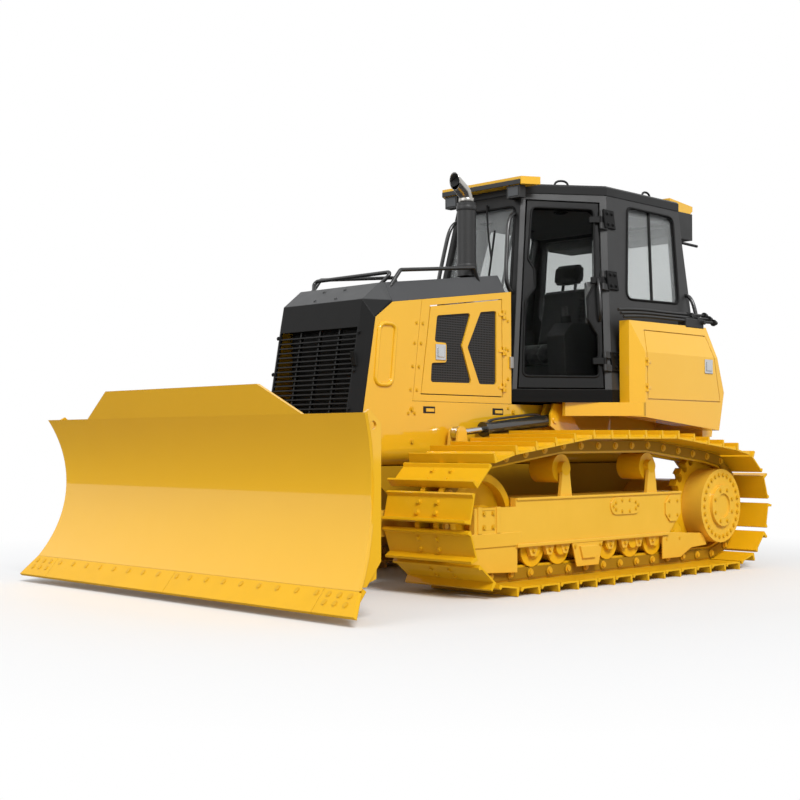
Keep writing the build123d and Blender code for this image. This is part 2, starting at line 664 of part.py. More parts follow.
def engine_door_outline(margin):
    """Y, Z of an engine door's corners, grown or shrunk by a margin."""
    (y0, z0), (y1, z1), (y2, z2), (y3, z3) = ENGINE_DOOR
    return [(y0 - margin, z0 + margin), (y1 + margin, z1 + margin), (y2 + margin, z2 - margin),
            (y3 - margin, z3 - margin)]


def knuckle(axis, leaf, radius, low, high):
    """A hinge's knuckle round an upright axis, with its leaf out to the given plan corners."""
    return bar((*axis, low), (*axis, high), radius) + slab_z(leaf, low, high)


def hinge_halves(axis, fixed_leaf, door_leaf, radius, z, height):
    """The two fixed knuckles and the door's knuckle between them."""
    third = height / 6
    fixed = knuckle(axis, fixed_leaf, radius, z - 3 * third, z - third)
    fixed += knuckle(axis, fixed_leaf, radius, z + third, z + 3 * third)
    return fixed, knuckle(axis, door_leaf, radius, z - third + FIT, z + third - FIT)


def engine_hinges():
    """Left fixed halves and door halves of the engine door's hinges."""
    x, y = ENGINE_HINGE
    pairs = []
    for z in ENGINE_HINGE_HEIGHTS:
        fixed_leaf = [(HULL_HALF - 1, y + 4), (HULL_HALF - 1, y + 34), (HULL_HALF + 4, y + 34), (x, y)]
        door_leaf = [(HULL_HALF - 1, y - 44), (HULL_HALF - 1, y - 20), (HULL_HALF + 1, y - 4), (x, y),
                     (HULL_HALF + 4, y - 44)]
        pairs.append(hinge_halves(ENGINE_HINGE, fixed_leaf, door_leaf, ENGINE_HINGE_RADIUS, z, ENGINE_HINGE_HEIGHT))
    return pairs


def hood_sides():
    """The yellow side plates behind the nose, each with its engine door's opening."""
    opening = slab_x(engine_door_outline(DOOR_GAP), HULL_HALF - PANEL - 1, HULL_HALF + 1)
    panel = side_panels(HULL_TOP + 2) - slab_x(before_joint(3), 0, HULL_HALF + 1) - opening
    for fixed, _ in engine_hinges():
        panel += fixed
    return both_sides(panel)


def engine_door():
    """The left engine door: a plate as thick as the side, with two mesh windows beside a slanted rib."""
    door = slab_x(engine_door_outline(0), HULL_HALF - PANEL, HULL_HALF)
    for window in ENGINE_DOOR_WINDOWS:
        door -= slab_x(window, HULL_HALF - PANEL - 1, HULL_HALF + 1, MESH_CORNER)
    for _, swinging in engine_hinges():
        door += swinging
    return door


def door_mesh():
    """Perforated sheet seated in the left engine door's windows."""
    inner = HULL_HALF - PANEL + 3
    return [slab_x(window, inner, inner + MESH_THICKNESS, MESH_CORNER, -FIT) for window in ENGINE_DOOR_WINDOWS]


def grille():
    """Flat slats across the opening, held by three uprights behind them."""
    slope = (NOSE_BROW[0] - NOSE_FOOT[0]) / (NOSE_BROW[1] - NOSE_FOOT[1])
    count = int((GRILLE_TOP - GRILLE_BOTTOM) / SLAT_PITCH)
    solid = None
    for i in range(count):
        z = GRILLE_BOTTOM + SLAT_PITCH * (i + 0.5)
        y = NOSE_BROW[0] - (NOSE_BROW[1] - z) * slope + 2
        slat = slab_x([(y, z - SLAT_THICKNESS), (y + SLAT_DEPTH, z), (y + SLAT_DEPTH, z + SLAT_THICKNESS), (y, z)],
                      -GRILLE_HALF + FIT, GRILLE_HALF - FIT)
        solid = slat if solid is None else solid + slat
    low, high = GRILLE_BOTTOM + 4, GRILLE_TOP - 4
    for x in (-GRILLE_HALF / 2, 0, GRILLE_HALF / 2):
        y_low = NOSE_BROW[0] - (NOSE_BROW[1] - low) * slope + 20
        y_high = NOSE_BROW[0] - (NOSE_BROW[1] - high) * slope + 20
        solid += slab_x([(y_low, low), (y_low + 22, low), (y_high + 22, high), (y_high, high)], x - 6, x + 6)
    return solid


# ---- Cab

def cab_ring(z, inset):
    """Plan corners of the cab at a height, from the left front corner round by the rear, moved inwards."""
    along = Vector(CAB_B[0] - CAB_A[0], CAB_B[1] - CAB_A[1]).normalized()
    inwards = Vector(-along.Y, along.X)
    rise = (z - CAB_SILL) / (CAB_EAVES - CAB_SILL)
    front = Vector(*CAB_A) + (along * CAB_A_SLIDE + inwards * CAB_LEAN) * rise
    post = Vector(*CAB_B) + (along * CAB_B_SLIDE + inwards * CAB_LEAN) * rise
    left = [(front.X, front.Y), (post.X, post.Y), (post.X, CAB_C[1])]
    ring = left + [(-x, y) for x, y in reversed(left)]
    if inset:
        face = offset(outline(ring), amount=-inset, kind=Kind.INTERSECTION)
        corners = [(v.X, v.Y) for v in face.vertices()]
        ring = [min(corners, key=lambda corner: math.dist(corner, point)) for point in ring]
    return ring


def plan_face(points, z):
    return Plane.XY.offset(z) * outline(points)


def cab_wall(first, low, high):
    """One wall of the cab between two corners, mitred at both, from one height to another."""
    second = (first + 1) % 6
    faces = []
    for z in (low, high):
        outer, inner = cab_ring(z, 0), cab_ring(z, CAB_WALL)
        faces.append(plan_face([outer[first], outer[second], inner[second], inner[first]], z))
    return loft(faces, ruled=True)


def wall_plane(first):
    """Local frame of a cab wall: x along it from its first corner at the sill, y up it, z inwards."""
    second = (first + 1) % 6
    low, high = cab_ring(CAB_SILL, 0), cab_ring(CAB_EAVES, 0)
    start = Vector(*low[first], CAB_SILL)
    along = (Vector(*low[second], CAB_SILL) - start).normalized()
    up = Vector(*high[first], CAB_EAVES) - start
    inwards = along.cross(up).normalized()
    centre = Vector(0, (CAB_A[1] + CAB_C[1]) / 2, CAB_SILL)
    if inwards.dot(centre - start) < 0:
        inwards = -inwards
    return Plane(origin=start, x_dir=along, z_dir=inwards)


def through(first, points, radius, margin, depth=None):
    """A cutter or a pane through a wall, with rounded corners, its outline grown by a margin."""
    plane = wall_plane(first)
    face = plane * outline(points, radius, margin)
    if depth is None:
        return extrude(face, amount=CAB_WALL * 2, dir=plane.z_dir) + extrude(face, amount=40, dir=-plane.z_dir)
    start, thickness = depth
    return extrude(Pos(*(plane.z_dir * start)) * face, amount=thickness, dir=plane.z_dir)


def flip(first, points):
    """The wall's own x runs back from its first corner, and is turned where the local y points down."""
    plane = wall_plane(first)
    return [(x, y if plane.y_dir.Z > 0 else -y) for x, y in points]


def cab_cut(first, points, radius=0.0, margin=0.0, depth=None):
    return through(first, flip(first, points), radius, margin, depth)


def cab_front():
    """The front wall with its windscreen opening and the posts at both front corners."""
    return cab_wall(5, CAB_SILL, CAB_EAVES) - cab_cut(5, WINDSCREEN, WINDOW_RADIUS)


def post_plane(height):
    """Local frame on the left door post's edge: z up the post, x in the door wall and y inwards."""
    low = Vector(*cab_ring(CAB_SILL, 0)[1], CAB_SILL)
    up = (Vector(*cab_ring(CAB_EAVES, 0)[1], CAB_EAVES) - low).normalized()
    along = Vector(CAB_B[0] - CAB_A[0], CAB_B[1] - CAB_A[1], 0)
    return Plane(origin=low + up * height, x_dir=along - up * along.dot(up), z_dir=up)


def cab_hinges():
    """Left fixed halves and door halves of the cab door's hinges, on an axis along the leaning post."""
    x, y = -CAB_HINGE[0], -CAB_HINGE[1]
    fixed_leaf = [(x, y + 8), (x + 14, 3), (2, 3), (2, -12), (x, y - 10)]
    door_leaf = [(x, y + 8), (x - 28, 3), (x - 84, 3), (x - 84, -12), (x, y - 10)]
    fixed, swinging = hinge_halves((x, y), fixed_leaf, door_leaf, CAB_HINGE_RADIUS, 0, CAB_HINGE_HEIGHT)
    return [(post_plane(height) * fixed, post_plane(height) * swinging) for height in CAB_HINGE_PLACES]


def cab_sides():
    """Each side: the frame round the door, the hinge post, and the rear quarter with its window."""
    side = cab_wall(0, CAB_SILL, CAB_EAVES) - cab_cut(0, DOOR, 0, CAB_DOOR_GAP)
    side += cab_wall(1, CAB_SILL, CAB_EAVES) - cab_cut(1, QUARTER_WINDOW, WINDOW_RADIUS)
    for fixed, _ in cab_hinges():
        side += fixed
    return both_sides(side)


def cab_rear():
    """The rear wall with one wide window."""
    return cab_wall(2, CAB_SILL, CAB_EAVES) - cab_cut(2, REAR_WINDOW, WINDOW_RADIUS)


def cab_door():
    """The left door, as thick as the wall, with its stepped window opening."""
    door = cab_wall(0, CAB_SILL, CAB_EAVES) & cab_cut(0, DOOR)
    door -= cab_cut(0, DOOR_WINDOW, DOOR_WINDOW_RADIUS)
    for _, swinging in cab_hinges():
        door += swinging
    return door


def cab_glass():
    """The fixed panes, seated in their openings."""
    depth = (CAB_WALL / 2 - GLASS / 2, GLASS)
    panes = [cab_cut(5, WINDSCREEN, WINDOW_RADIUS, -FIT, depth), cab_cut(2, REAR_WINDOW, WINDOW_RADIUS, -FIT, depth)]
    return panes + both_sides(cab_cut(1, QUARTER_WINDOW, WINDOW_RADIUS, -FIT, depth))


def door_glass():
    return cab_cut(0, DOOR_WINDOW, DOOR_WINDOW_RADIUS, -FIT, (CAB_WALL / 2 - GLASS / 2, GLASS))


def cab_floor():
    """The black base frame under the walls, with the floor plate inside it."""
    base = extrude(plan_face(cab_ring(CAB_SILL, 0), CAB_FLOOR_BOTTOM), amount=CAB_SILL - CAB_FLOOR_BOTTOM,
                   dir=(0, 0, 1))
    base -= extrude(plan_face(cab_ring(CAB_SILL, CAB_WALL), CAB_FLOOR_BOTTOM + 30), amount=200, dir=(0, 0, 1))
    return base


def roof_plan(margin):
    """The roof cap's outline at the eaves, grown by a margin."""
    return offset(plan_face(cab_ring(CAB_EAVES, 0), CAB_EAVES), amount=ROOF_OVERHANG + margin, kind=Kind.INTERSECTION)


def cab_roof():
    """The roof cap: an overhanging slab with a chamfered rim."""
    roof = extrude(roof_plan(0), amount=ROOF_TOP - CAB_EAVES, dir=(0, 0, 1))
    return chamfer(roof.faces().sort_by(Axis.Z)[-1].edges(), ROOF_CHAMFER)


# ---- Platform, consoles and tank

def platform():
    """The step plate and fender either side under the cab, its front edge in line with the door."""
    x, y = PLATFORM_INNER_CORNER
    corner = (CONSOLE_OUTER - FIT, CONSOLE_FRONT + CONSOLE_LEAN - 2 * FIT)
    notch = (CONSOLE_OUTER - CONSOLE_LEAN, CONSOLE_FRONT - FIT)
    inner = CAB_B[0] + CONSOLE_GAP - FIT
    plan = [(HULL_HALF + FIT, y + 100), (x - 25, y + 100), (x - 25, y), (x, y), corner, notch, (inner, notch[1]),
            (inner, HULL_REAR_Y - 40), (HULL_HALF + FIT, HULL_REAR_Y - 40)]
    plate = slab_z(plan, PLATFORM_BOTTOM, CAB_FLOOR_BOTTOM - FIT)
    hollow = offset(outline(plan), amount=-12, kind=Kind.INTERSECTION)
    plate -= extrude(Plane.XY.offset(PLATFORM_BOTTOM) * hollow, amount=CAB_FLOOR_BOTTOM - PLATFORM_BOTTOM - 12,
                     dir=(0, 0, 1))
    return both_sides(plate)


def console_form(inset):
    """The left console's closed form: its outer side creased, its front outer corner cut off."""
    outer = CONSOLE_OUTER - inset
    shape = [(CONSOLE_FRONT + inset, CONSOLE_FOOT), (CONSOLE_FRONT + inset, CONSOLE_TOP - inset)]
    shape += [(y - inset, z - inset if z > CONSOLE_CREASE + 100 else z) for y, z in CONSOLE_REAR]
    shape += [(CONSOLE_FRONT + CONSOLE_LEAN, CONSOLE_FOOT - 5)]
    form = slab_x(shape, CAB_B[0] + CONSOLE_GAP + inset, outer)
    form = trimmed(form, (outer, CONSOLE_FRONT + CONSOLE_LEAN + inset * 0.4, 0), Vector(1, -1, 0).normalized())
    lean = Vector(CONSOLE_TOP - CONSOLE_CREASE, 0, CONSOLE_LEAN).normalized()
    return trimmed(form, (outer, 0, CONSOLE_CREASE), lean)


def console_hinges():
    """Left fixed halves and door halves of the service door's hinges."""
    x, y = CONSOLE_HINGE
    side = CONSOLE_OUTER
    fixed_leaf = [(side - 1, y - 19), (side + 4, y - 19), (x, y), (side - 1, y - 6)]
    door_leaf = [(side - 1, y + 44), (side + 4, y + 44), (x, y), (side + 1, y + 8), (side - 1, y + 18)]
    return [hinge_halves(CONSOLE_HINGE, fixed_leaf, door_leaf, CONSOLE_HINGE_RADIUS, z, CONSOLE_HINGE_HEIGHT)
            for z in CONSOLE_HINGE_HEIGHTS]


def console():
    """The left side console over the fender, with the locker behind its service door."""
    body = console_form(0)
    door_space = slab_x(CONSOLE_DOOR, console_door_back, CONSOLE_OUTER + 1, 0, DOOR_GAP)
    body -= door_space - console_form(CONSOLE_DOOR_THICKNESS + FIT)
    body -= slab_x(CONSOLE_DOOR, CAB_B[0] + CONSOLE_GAP + 25, CONSOLE_OUTER, 0, -40)
    for fixed, _ in console_hinges():
        body += fixed
    return body


def console_door():
    """The left service door, which follows the crease and is hinged on its front edge."""
    door = console_form(0) - console_form(CONSOLE_DOOR_THICKNESS)
    door &= slab_x(CONSOLE_DOOR, console_door_back, CONSOLE_OUTER + 1)
    for _, swinging in console_hinges():
        door += swinging
    return door


def fuel_tank():
    """The tank across the rear between the consoles, on the hull's rear face."""
    low = HULL_REAR_Y + FIT
    shape = [(low, TANK_BOTTOM), (TANK_REAR_Y - 60, TANK_BOTTOM), (TANK_REAR_Y, TANK_BOTTOM + 260),
             (TANK_REAR_Y - 100, TANK_TOP), (low, TANK_TOP)]
    half = CAB_B[0] + CONSOLE_GAP - 2
    return slab_x(shape, -half, half)


# ---- Inside the cab

def seat():
    """The driver's seat: suspension box, cushion, backrest, armrests and headrest as one padded body."""
    y = SEAT_Y
    base = block((-230, 230), (y - 220, y + 230), (CAB_FLOOR_BOTTOM + 30 + FIT, SEAT_TOP - 130))
    cushion = block((-250, 250), (y - 270, y + 250), (SEAT_TOP - 130, SEAT_TOP))
    cushion = fillet(cushion.edges(), 30)
    back = slab_x([(y + 130, SEAT_TOP - 20), (y + 250, SEAT_TOP - 20), (y + 330, SEAT_TOP + 600),
                   (y + 230, SEAT_TOP + 600)], -240, 240)
    back = fillet(back.edges(), 30)
    head = slab_x([(y + 232, SEAT_TOP + 620), (y + 332, SEAT_TOP + 620), (y + 350, SEAT_TOP + 800),
                   (y + 260, SEAT_TOP + 800)], -130, 130)
    head = fillet(head.edges(), 28)
    posts = [slab_x([(y + 265, SEAT_TOP + 580), (y + 290, SEAT_TOP + 580), (y + 300, SEAT_TOP + 640),
                     (y + 275, SEAT_TOP + 640)], x - 12, x + 12) for x in (-60, 60)]
    return base + cushion + back + head + posts[0] + posts[1]


def control_consoles():
    """The armrest consoles beside the seat, with a joystick on each, and the front instrument stand."""
    solids = []
    for side in (-1, 1):
        x = side * 370
        pod = slab_x([(SEAT_Y - 330, CAB_FLOOR_BOTTOM + 30 + FIT), (SEAT_Y + 200, CAB_FLOOR_BOTTOM + 30 + FIT),
                      (SEAT_Y + 200, SEAT_TOP + 150), (SEAT_Y - 260, SEAT_TOP + 150), (SEAT_Y - 360, SEAT_TOP + 60)],
                     x - 80, x + 80)
        pod = fillet(pod.edges().filter_by(Axis.X), 25)
        stick = bar((x, SEAT_Y - 240, SEAT_TOP + 120), (x, SEAT_Y - 255, SEAT_TOP + 270), 22)
        solids.append(pod + stick)
    y_low = CAB_A[1] + CAB_WALL + 60
    stand = slab_x([(y_low, CAB_FLOOR_BOTTOM + 30 + FIT), (y_low + 200, CAB_FLOOR_BOTTOM + 30 + FIT),
                    (y_low + 260, 1880), (y_low + 90, 1930)], -200, 200)
    solids.append(fillet(stand.edges().filter_by(Axis.X), 25))
    return solids


# ---- Exhaust, rails, visors and lamps

def hood_height(y):
    """Z of the hood's flat top at a place along the machine."""
    return HOOD_FRONT[1] + (HOOD_REAR[1] - HOOD_FRONT[1]) * (y - HOOD_FRONT[0]) / (HOOD_REAR[0] - HOOD_FRONT[0])


def exhaust_stack():
    """The stack's round heat guard, standing on the hood."""
    foot = hood_height(STACK_Y + STACK_GUARD_RADIUS) + FIT
    return bar((STACK_X, STACK_Y, foot), (STACK_X, STACK_Y, STACK_GUARD_TOP), STACK_GUARD_RADIUS)


def exhaust_elbow():
    """The bright tailpipe, bent forward, its mouth cut upright."""
    low = (STACK_X, STACK_Y, STACK_GUARD_TOP + FIT)
    bend = (STACK_X, STACK_Y, STACK_GUARD_TOP + 58)
    tip = (STACK_X, STACK_Y - 165, STACK_GUARD_TOP + 165)
    path = FilletPolyline(low, bend, tip, radius=95)
    pipe = sweep(Plane(origin=low, z_dir=(0, 0, 1)) * (Circle(ELBOW_RADIUS) - Circle(ELBOW_RADIUS - ELBOW_WALL)), path)
    return trimmed(pipe, (STACK_X, STACK_Y - 120, STACK_GUARD_TOP + 136), Vector(0, -1, -0.12).normalized())


def tube_path(points, radius=60.0):
    """A bent round rail through points."""
    path = FilletPolyline(*points, radius=radius)
    return sweep(Plane(origin=path @ 0, z_dir=path % 0) * Circle(RAIL_RADIUS), path)


def handrails():
    """Three rails on the hood: across the brow and along both sides."""
    y = RAIL_FRONT_Y
    foot = y - 60
    brow = tube_path([(-RAIL_X + 66, foot, hood_height(foot) - 20), (-RAIL_X, y, hood_height(y) + 64),
                      (RAIL_X, y, hood_height(y) + 64), (RAIL_X - 66, foot, hood_height(foot) - 20)], 25)
    low, high = RAIL_SIDE
    x = RAIL_SIDE_X
    side = tube_path([(x, low, hood_height(low) - 40), (x, low + 105, hood_height(low) + 87),
                      (x, high - 45, hood_height(high) + 56), (x, high, hood_height(high) - 40)], 30)
    return [rail - engine_cover(-FIT) for rail in [brow] + both_sides(side)]


def visors():
    """The yellow brows over the front of the roof and behind it."""
    plan = [(-VISOR_FRONT[0], VISOR_FRONT[1]), VISOR_FRONT, VISOR_REAR, (-VISOR_REAR[0], VISOR_REAR[1])]
    front = slab_z(plan, VISOR_BOTTOM, VISOR_TOP)
    front -= extrude(roof_plan(FIT), amount=ROOF_TOP - CAB_EAVES + FIT, dir=(0, 0, 1))
    low, bottom = CAB_C[1] + ROOF_OVERHANG + FIT, REAR_VISOR_BOTTOM
    rear_y = low + REAR_VISOR_LENGTH
    rear = slab_x([(low, bottom), (rear_y - 30, bottom), (rear_y, bottom + 25), (rear_y, bottom + 61),
                   (low, bottom + 91)], -REAR_VISOR_HALF, REAR_VISOR_HALF)
    return [front, rear]


def work_lamps():
    """Two lamps under the front brow and the lamp box under the rear one."""
    lamps = []
    top = VISOR_BOTTOM - FIT
    y = VISOR_FRONT[1] + 10
    for x in (-LAMP_X, LAMP_X):
        lamps.append(block((x - 60, x + 60), (y, y + 65), (top - LAMP_HEIGHT, top)))
    low = CAB_C[1] + ROOF_OVERHANG + FIT
    lamps.append(block((-REAR_VISOR_HALF, REAR_VISOR_HALF), (low, low + REAR_VISOR_LENGTH - 5),
                       (REAR_LAMP_BOTTOM, REAR_VISOR_BOTTOM - FIT)))
    return lamps


# ---- Push frame, yoke and blade

def push_frame():
    """The C-shaped frame: two arms, a nose with the king pin, and the lugs of five cylinder pins."""
    low = TRUNNION_Z - ARM_HEIGHT / 2
    tail = TRUNNION_Y + ARM_HEIGHT / 2
    nose_rear, nose_front = KING_Y + 180, KING_Y + 95
    left = [(ARM_INNER, tail), (ARM_OUTER, tail), (ARM_OUTER, ARM_BEND_Y), (NOSE_HALF + 30, nose_front)]
    inner = [(ARM_INNER, ARM_BEND_Y + 36), (NOSE_HALF, nose_rear)]
    plan = left + [(-x, y) for x, y in reversed(left)] + [(-x, y) for x, y in inner] + list(reversed(inner))
    frame = slab_z(plan, low, low + ARM_HEIGHT)
    for side in (-1, 1):
        frame -= cross_bar(TRUNNION_Y, TRUNNION_Z, TRUNNION_RADIUS + RUNNING_FIT, side * (ARM_INNER - 1),
                           side * (ARM_OUTER + 1))
    frame += block((-NOSE_HALF, NOSE_HALF), (nose_front, nose_rear), (KING_BOTTOM, KING_TOP))
    for z in (KING_BOTTOM, KING_TOP - KING_EAR_HEIGHT):
        frame += bar((0, KING_Y, z), (0, KING_Y, z + KING_EAR_HEIGHT), KING_EAR)
        frame += block((-KING_EAR, KING_EAR), (KING_Y, nose_front), (z, z + KING_EAR_HEIGHT))
    frame += bar((0, KING_Y, KING_BOTTOM), (0, KING_Y, KING_TOP), KING_RADIUS)
    eye, half = eye_radius, fork_half
    y, z = LIFT_FRONT
    top = low + ARM_HEIGHT
    lug = [(y - 110, top - 5), (y + 110, top - 5), (y + eye, z), (y - eye, z)]
    for inner_face in (LIFT_X - half - CHEEK, LIFT_X + half):
        cheek = slab_x(lug, inner_face, inner_face + CHEEK) + cross_bar(y, z, eye, inner_face, inner_face + CHEEK)
        for piece in both_sides(cheek):
            frame += piece
    web = block((LIFT_X - half, ARM_OUTER), (y - 80, y + 80), (top - 5, top + 200))
    x, y = ANGLE_REAR
    back = block((ARM_INNER, ARM_OUTER), (y + 50, y + 72), (top - 5, HORN_Z + half + CHEEK))
    for piece in both_sides(web) + both_sides(back):
        frame += piece
    for z in (HORN_Z - half - CHEEK, HORN_Z + half):
        cheek = block((x - eye, ARM_OUTER), (y, y + 51), (z, z + CHEEK)) + bar((x, y, z), (x, y, z + CHEEK), eye)
        for piece in both_sides(cheek):
            frame += piece
    for piece in both_sides(bar((x, y, HORN_Z - half - 1), (x, y, HORN_Z + half + 1), PIN_RADIUS)):
        frame += piece
    return frame


def trunnions():
    """The pins and bosses on the belly that carry the push frame's arms."""
    pin = cross_bar(TRUNNION_Y, TRUNNION_Z, TRUNNION_RADIUS, BELLY_HALF, ARM_OUTER + 5)
    boss = cross_bar(TRUNNION_Y, TRUNNION_Z, 72, BELLY_HALF, ARM_INNER - 6)
    cap = cross_bar(TRUNNION_Y, TRUNNION_Z, 62, ARM_OUTER + 5, ARM_OUTER + 17)
    return pin + boss + cap


def drawbar():
    """The clevis at the rear for towing, open behind, with one upright pin hole through both plates."""
    low, high = DRAWBAR_Z
    clevis = block((-DRAWBAR_HALF, DRAWBAR_HALF), (DRAWBAR_PIN_Y - 150, DRAWBAR_PIN_Y), (low, high))
    clevis += bar((0, DRAWBAR_PIN_Y, low), (0, DRAWBAR_PIN_Y, high), DRAWBAR_HALF)
    mouth = (DRAWBAR_PIN_Y - 50, DRAWBAR_PIN_Y + DRAWBAR_HALF + 10)
    clevis -= block((-DRAWBAR_HALF - 1, DRAWBAR_HALF + 1), mouth, (low + DRAWBAR_PLATE, high - DRAWBAR_PLATE))
    return clevis - bar((0, DRAWBAR_PIN_Y, low - 1), (0, DRAWBAR_PIN_Y, high + 1), DRAWBAR_PIN_RADIUS)


def belly():
    """The dark belly case under the hull, with a sloped front, the push frame's trunnions and the rear cross shaft."""
    shape = [(-930, HULL_BOTTOM - FIT), (-930, 640), (-640, BELLY_BOTTOM), (1700, BELLY_BOTTOM), (1990, 560),
             (1990, HULL_BOTTOM - FIT)]
    case = slab_x(shape, -BELLY_HALF, BELLY_HALF)
    for piece in both_sides(trunnions()):
        case += piece
    shaft = cross_bar(PIVOT_SHAFT_Y, PIVOT_SHAFT_Z, PIVOT_SHAFT_RADIUS, BELLY_HALF - 5, FRAME_INNER - FIT)
    for piece in both_sides(shaft):
        case += piece
    return case + drawbar()


def yoke():
    """The block on the king pin, its horns for the angle cylinders and the blade's tilt pin."""
    plate_front = YOKE_PLATE_Y - YOKE_PLATE
    low, high = KING_BOTTOM + KING_EAR_HEIGHT + 6, KING_TOP - KING_EAR_HEIGHT - 6
    half_width = HORN_X + eye_radius
    body = block((-half_width, half_width), (plate_front, YOKE_PLATE_Y), (340, 690))
    body += bar((0, KING_Y, low), (0, KING_Y, high), KING_EAR - 2)
    body += block((-KING_EAR + 2, KING_EAR - 2), (YOKE_PLATE_Y, KING_Y), (low, high))
    body -= bar((0, KING_Y, low - 1), (0, KING_Y, high + 1), KING_RADIUS + RUNNING_FIT)
    eye, half = eye_radius, fork_half
    for z in (HORN_Z - half - CHEEK, HORN_Z + half):
        horn = block((HORN_X - eye, HORN_X + eye), (YOKE_PLATE_Y, HORN_Y), (z, z + CHEEK))
        horn += bar((HORN_X, HORN_Y, z), (HORN_X, HORN_Y, z + CHEEK), eye)
        for piece in both_sides(horn):
            body += piece
    x, z = TILT_REAR
    y = TILT_CYLINDER_Y
    body += block((x - eye, x + eye), (y - half - CHEEK, YOKE_PLATE_Y), (660, z - eye - 10))
    for face in (y - half - CHEEK, y + half):
        body += block((x - eye, x + eye), (face, face + CHEEK), (660, z)) + bar((x, face, z), (x, face + CHEEK, z), eye)
    body += bar((x, y - half, z), (x, y + half, z), PIN_RADIUS)
    body += bar((0, plate_front, TILT_Z), (0, plate_front - 60, TILT_Z), TILT_RADIUS)
    return body


def blade_curve(shift):
    """The moldboard's concave section, moved along the machine."""
    seam, belly_point, shoulder, crown = [(y + shift, z) for y, z in (EDGE_SEAM, BLADE_BELLY, BLADE_SHOULDER,
                                                                     BLADE_CROWN)]
    return [ThreePointArc(seam, belly_point, shoulder), Line(shoulder, crown)], seam, crown


def blade_outline():
    """The blade's outline from the front: arched ends, square shoulders and a raised middle."""
    middle = (EDGE_SEAM[1] + BLADE_SHOULDER[1]) / 2
    edges = []
    for side in (-1, 1):
        edges.append(ThreePointArc((side * SEAM_HALF, EDGE_SEAM[1]), (side * BELLY_HALF_WIDTH, middle),
                                   (side * SHOULDER_HALF, BLADE_SHOULDER[1])))
        edges.append(Line((side * SHOULDER_HALF, BLADE_SHOULDER[1]), (side * SHOULDER_INNER, BLADE_SHOULDER[1])))
        edges.append(Line((side * SHOULDER_INNER, BLADE_SHOULDER[1]), (side * CROWN_HALF, BLADE_CROWN[1])))
    edges.append(Line((-CROWN_HALF, BLADE_CROWN[1]), (CROWN_HALF, BLADE_CROWN[1])))
    edges.append(Line((-SEAM_HALF, EDGE_SEAM[1]), (SEAM_HALF, EDGE_SEAM[1])))
    return make_face(edges)


def edge_offset(point, out, back=0.0):
    """A point moved square to the cutting edge's face, and back along it."""
    run, rise = EDGE_SEAM[0] - EDGE_TIP[0], EDGE_SEAM[1] - EDGE_TIP[1]
    length = math.hypot(run, rise)
    return (point[0] + rise / length * out + run / length * back, point[1] - run / length * out + rise / length * back)


def blade():
    """The moldboard with its ribs, box beams, lifting eyes and the lugs for the tilt pin and cylinder."""
    front, seam, crown = blade_curve(0)
    rear, seam_rear, crown_rear = blade_curve(MOLDBOARD)
    width = 2 * EDGE_HALF
    section = Plane.YZ.offset(-EDGE_HALF) * make_face(front + rear + [Line(seam, seam_rear), Line(crown, crown_rear)])
    plate = extrude(section, amount=width, dir=(1, 0, 0))
    face = Plane.XZ.offset(300 - EDGE_SEAM[0]) * blade_outline()
    plate &= extrude(face, amount=700, dir=(0, 1, 0))
    lip = [edge_offset(EDGE_SEAM, CUTTING_EDGE + FIT, 30), edge_offset(EDGE_SEAM, CUTTING_EDGE + 24, 30),
           edge_offset(EDGE_TIP, CUTTING_EDGE + 24, 60), edge_offset(EDGE_TIP, CUTTING_EDGE + FIT, 60)]
    backing = slab_x(lip, -SEAM_HALF, SEAM_HALF)
    beam = slab_x([(-2180, 174), (-2130, 165), (-1985, 210), (-1968, 420), (-2040, 520)], -RIB_FACE + RIB_PLATE,
                  RIB_FACE - RIB_PLATE)
    top_beam = slab_x([(-2100, 860), (-2010, 830), (-1990, 930), (-2110, 1000)], -RIB_FACE + RIB_PLATE,
                      RIB_FACE - RIB_PLATE)
    rib = [(-2190, 175), (-2070, 175), (RIB_REAR_Y, 300), (RIB_REAR_Y, 1010), (-2050, 1082), (-2130, 1040),
           (-2060, 700)]
    backing += beam + top_beam
    end_rib = slab_x(rib, RIB_FACE - RIB_PLATE, RIB_FACE)
    end_rib -= cross_bar(*LIFTING_EYE, LIFTING_EYE_RADIUS, RIB_FACE - RIB_PLATE - 1, RIB_FACE + 1)
    for piece in both_sides(end_rib):
        backing += piece
    for x in (-900, -420, 420, 900):
        backing += slab_x([(-2160, 200), (-1985, 215), (-1968, 420), (-1968, 800), (-2000, 960), (-2110, 1000)],
                          x - 10, x + 10)
    bracket_front = YOKE_PLATE_Y - YOKE_PLATE - 12
    hub = block((-190, 190), (-2060, bracket_front), (390, 640))
    hub -= bar((0, -2100, TILT_Z), (0, bracket_front + 1, TILT_Z), TILT_RADIUS + RUNNING_FIT)
    backing += hub
    eye, half = eye_radius, fork_half
    x, z = TILT_FRONT
    y = TILT_CYLINDER_Y
    for low in (y - half - CHEEK, y + half):
        backing += bar((x, low, z), (x, low + CHEEK, z), eye)
    backing += block((x - eye - 60, x - eye - 30), (-2130, y + half + CHEEK), (z - 60, z + 60))
    for low in (y - half - CHEEK, y + half):
        backing += block((x - eye - 60, x), (low, low + CHEEK), (z - eye, z + eye))
    before = EDGE_SEAM[0] - 300
    front_space = make_face(blade_curve(MOLDBOARD / 2)[0] + [
        Line((EDGE_SEAM[0] + MOLDBOARD / 2, EDGE_SEAM[1]), (before, EDGE_SEAM[1])),
        Line((before, EDGE_SEAM[1]), (before, BLADE_CROWN[1])),
        Line((before, BLADE_CROWN[1]), (BLADE_CROWN[0] + MOLDBOARD / 2, BLADE_CROWN[1]))])
    backing -= extrude(Plane.YZ.offset(-EDGE_HALF) * front_space, amount=2 * EDGE_HALF, dir=(1, 0, 0))
    return plate + backing


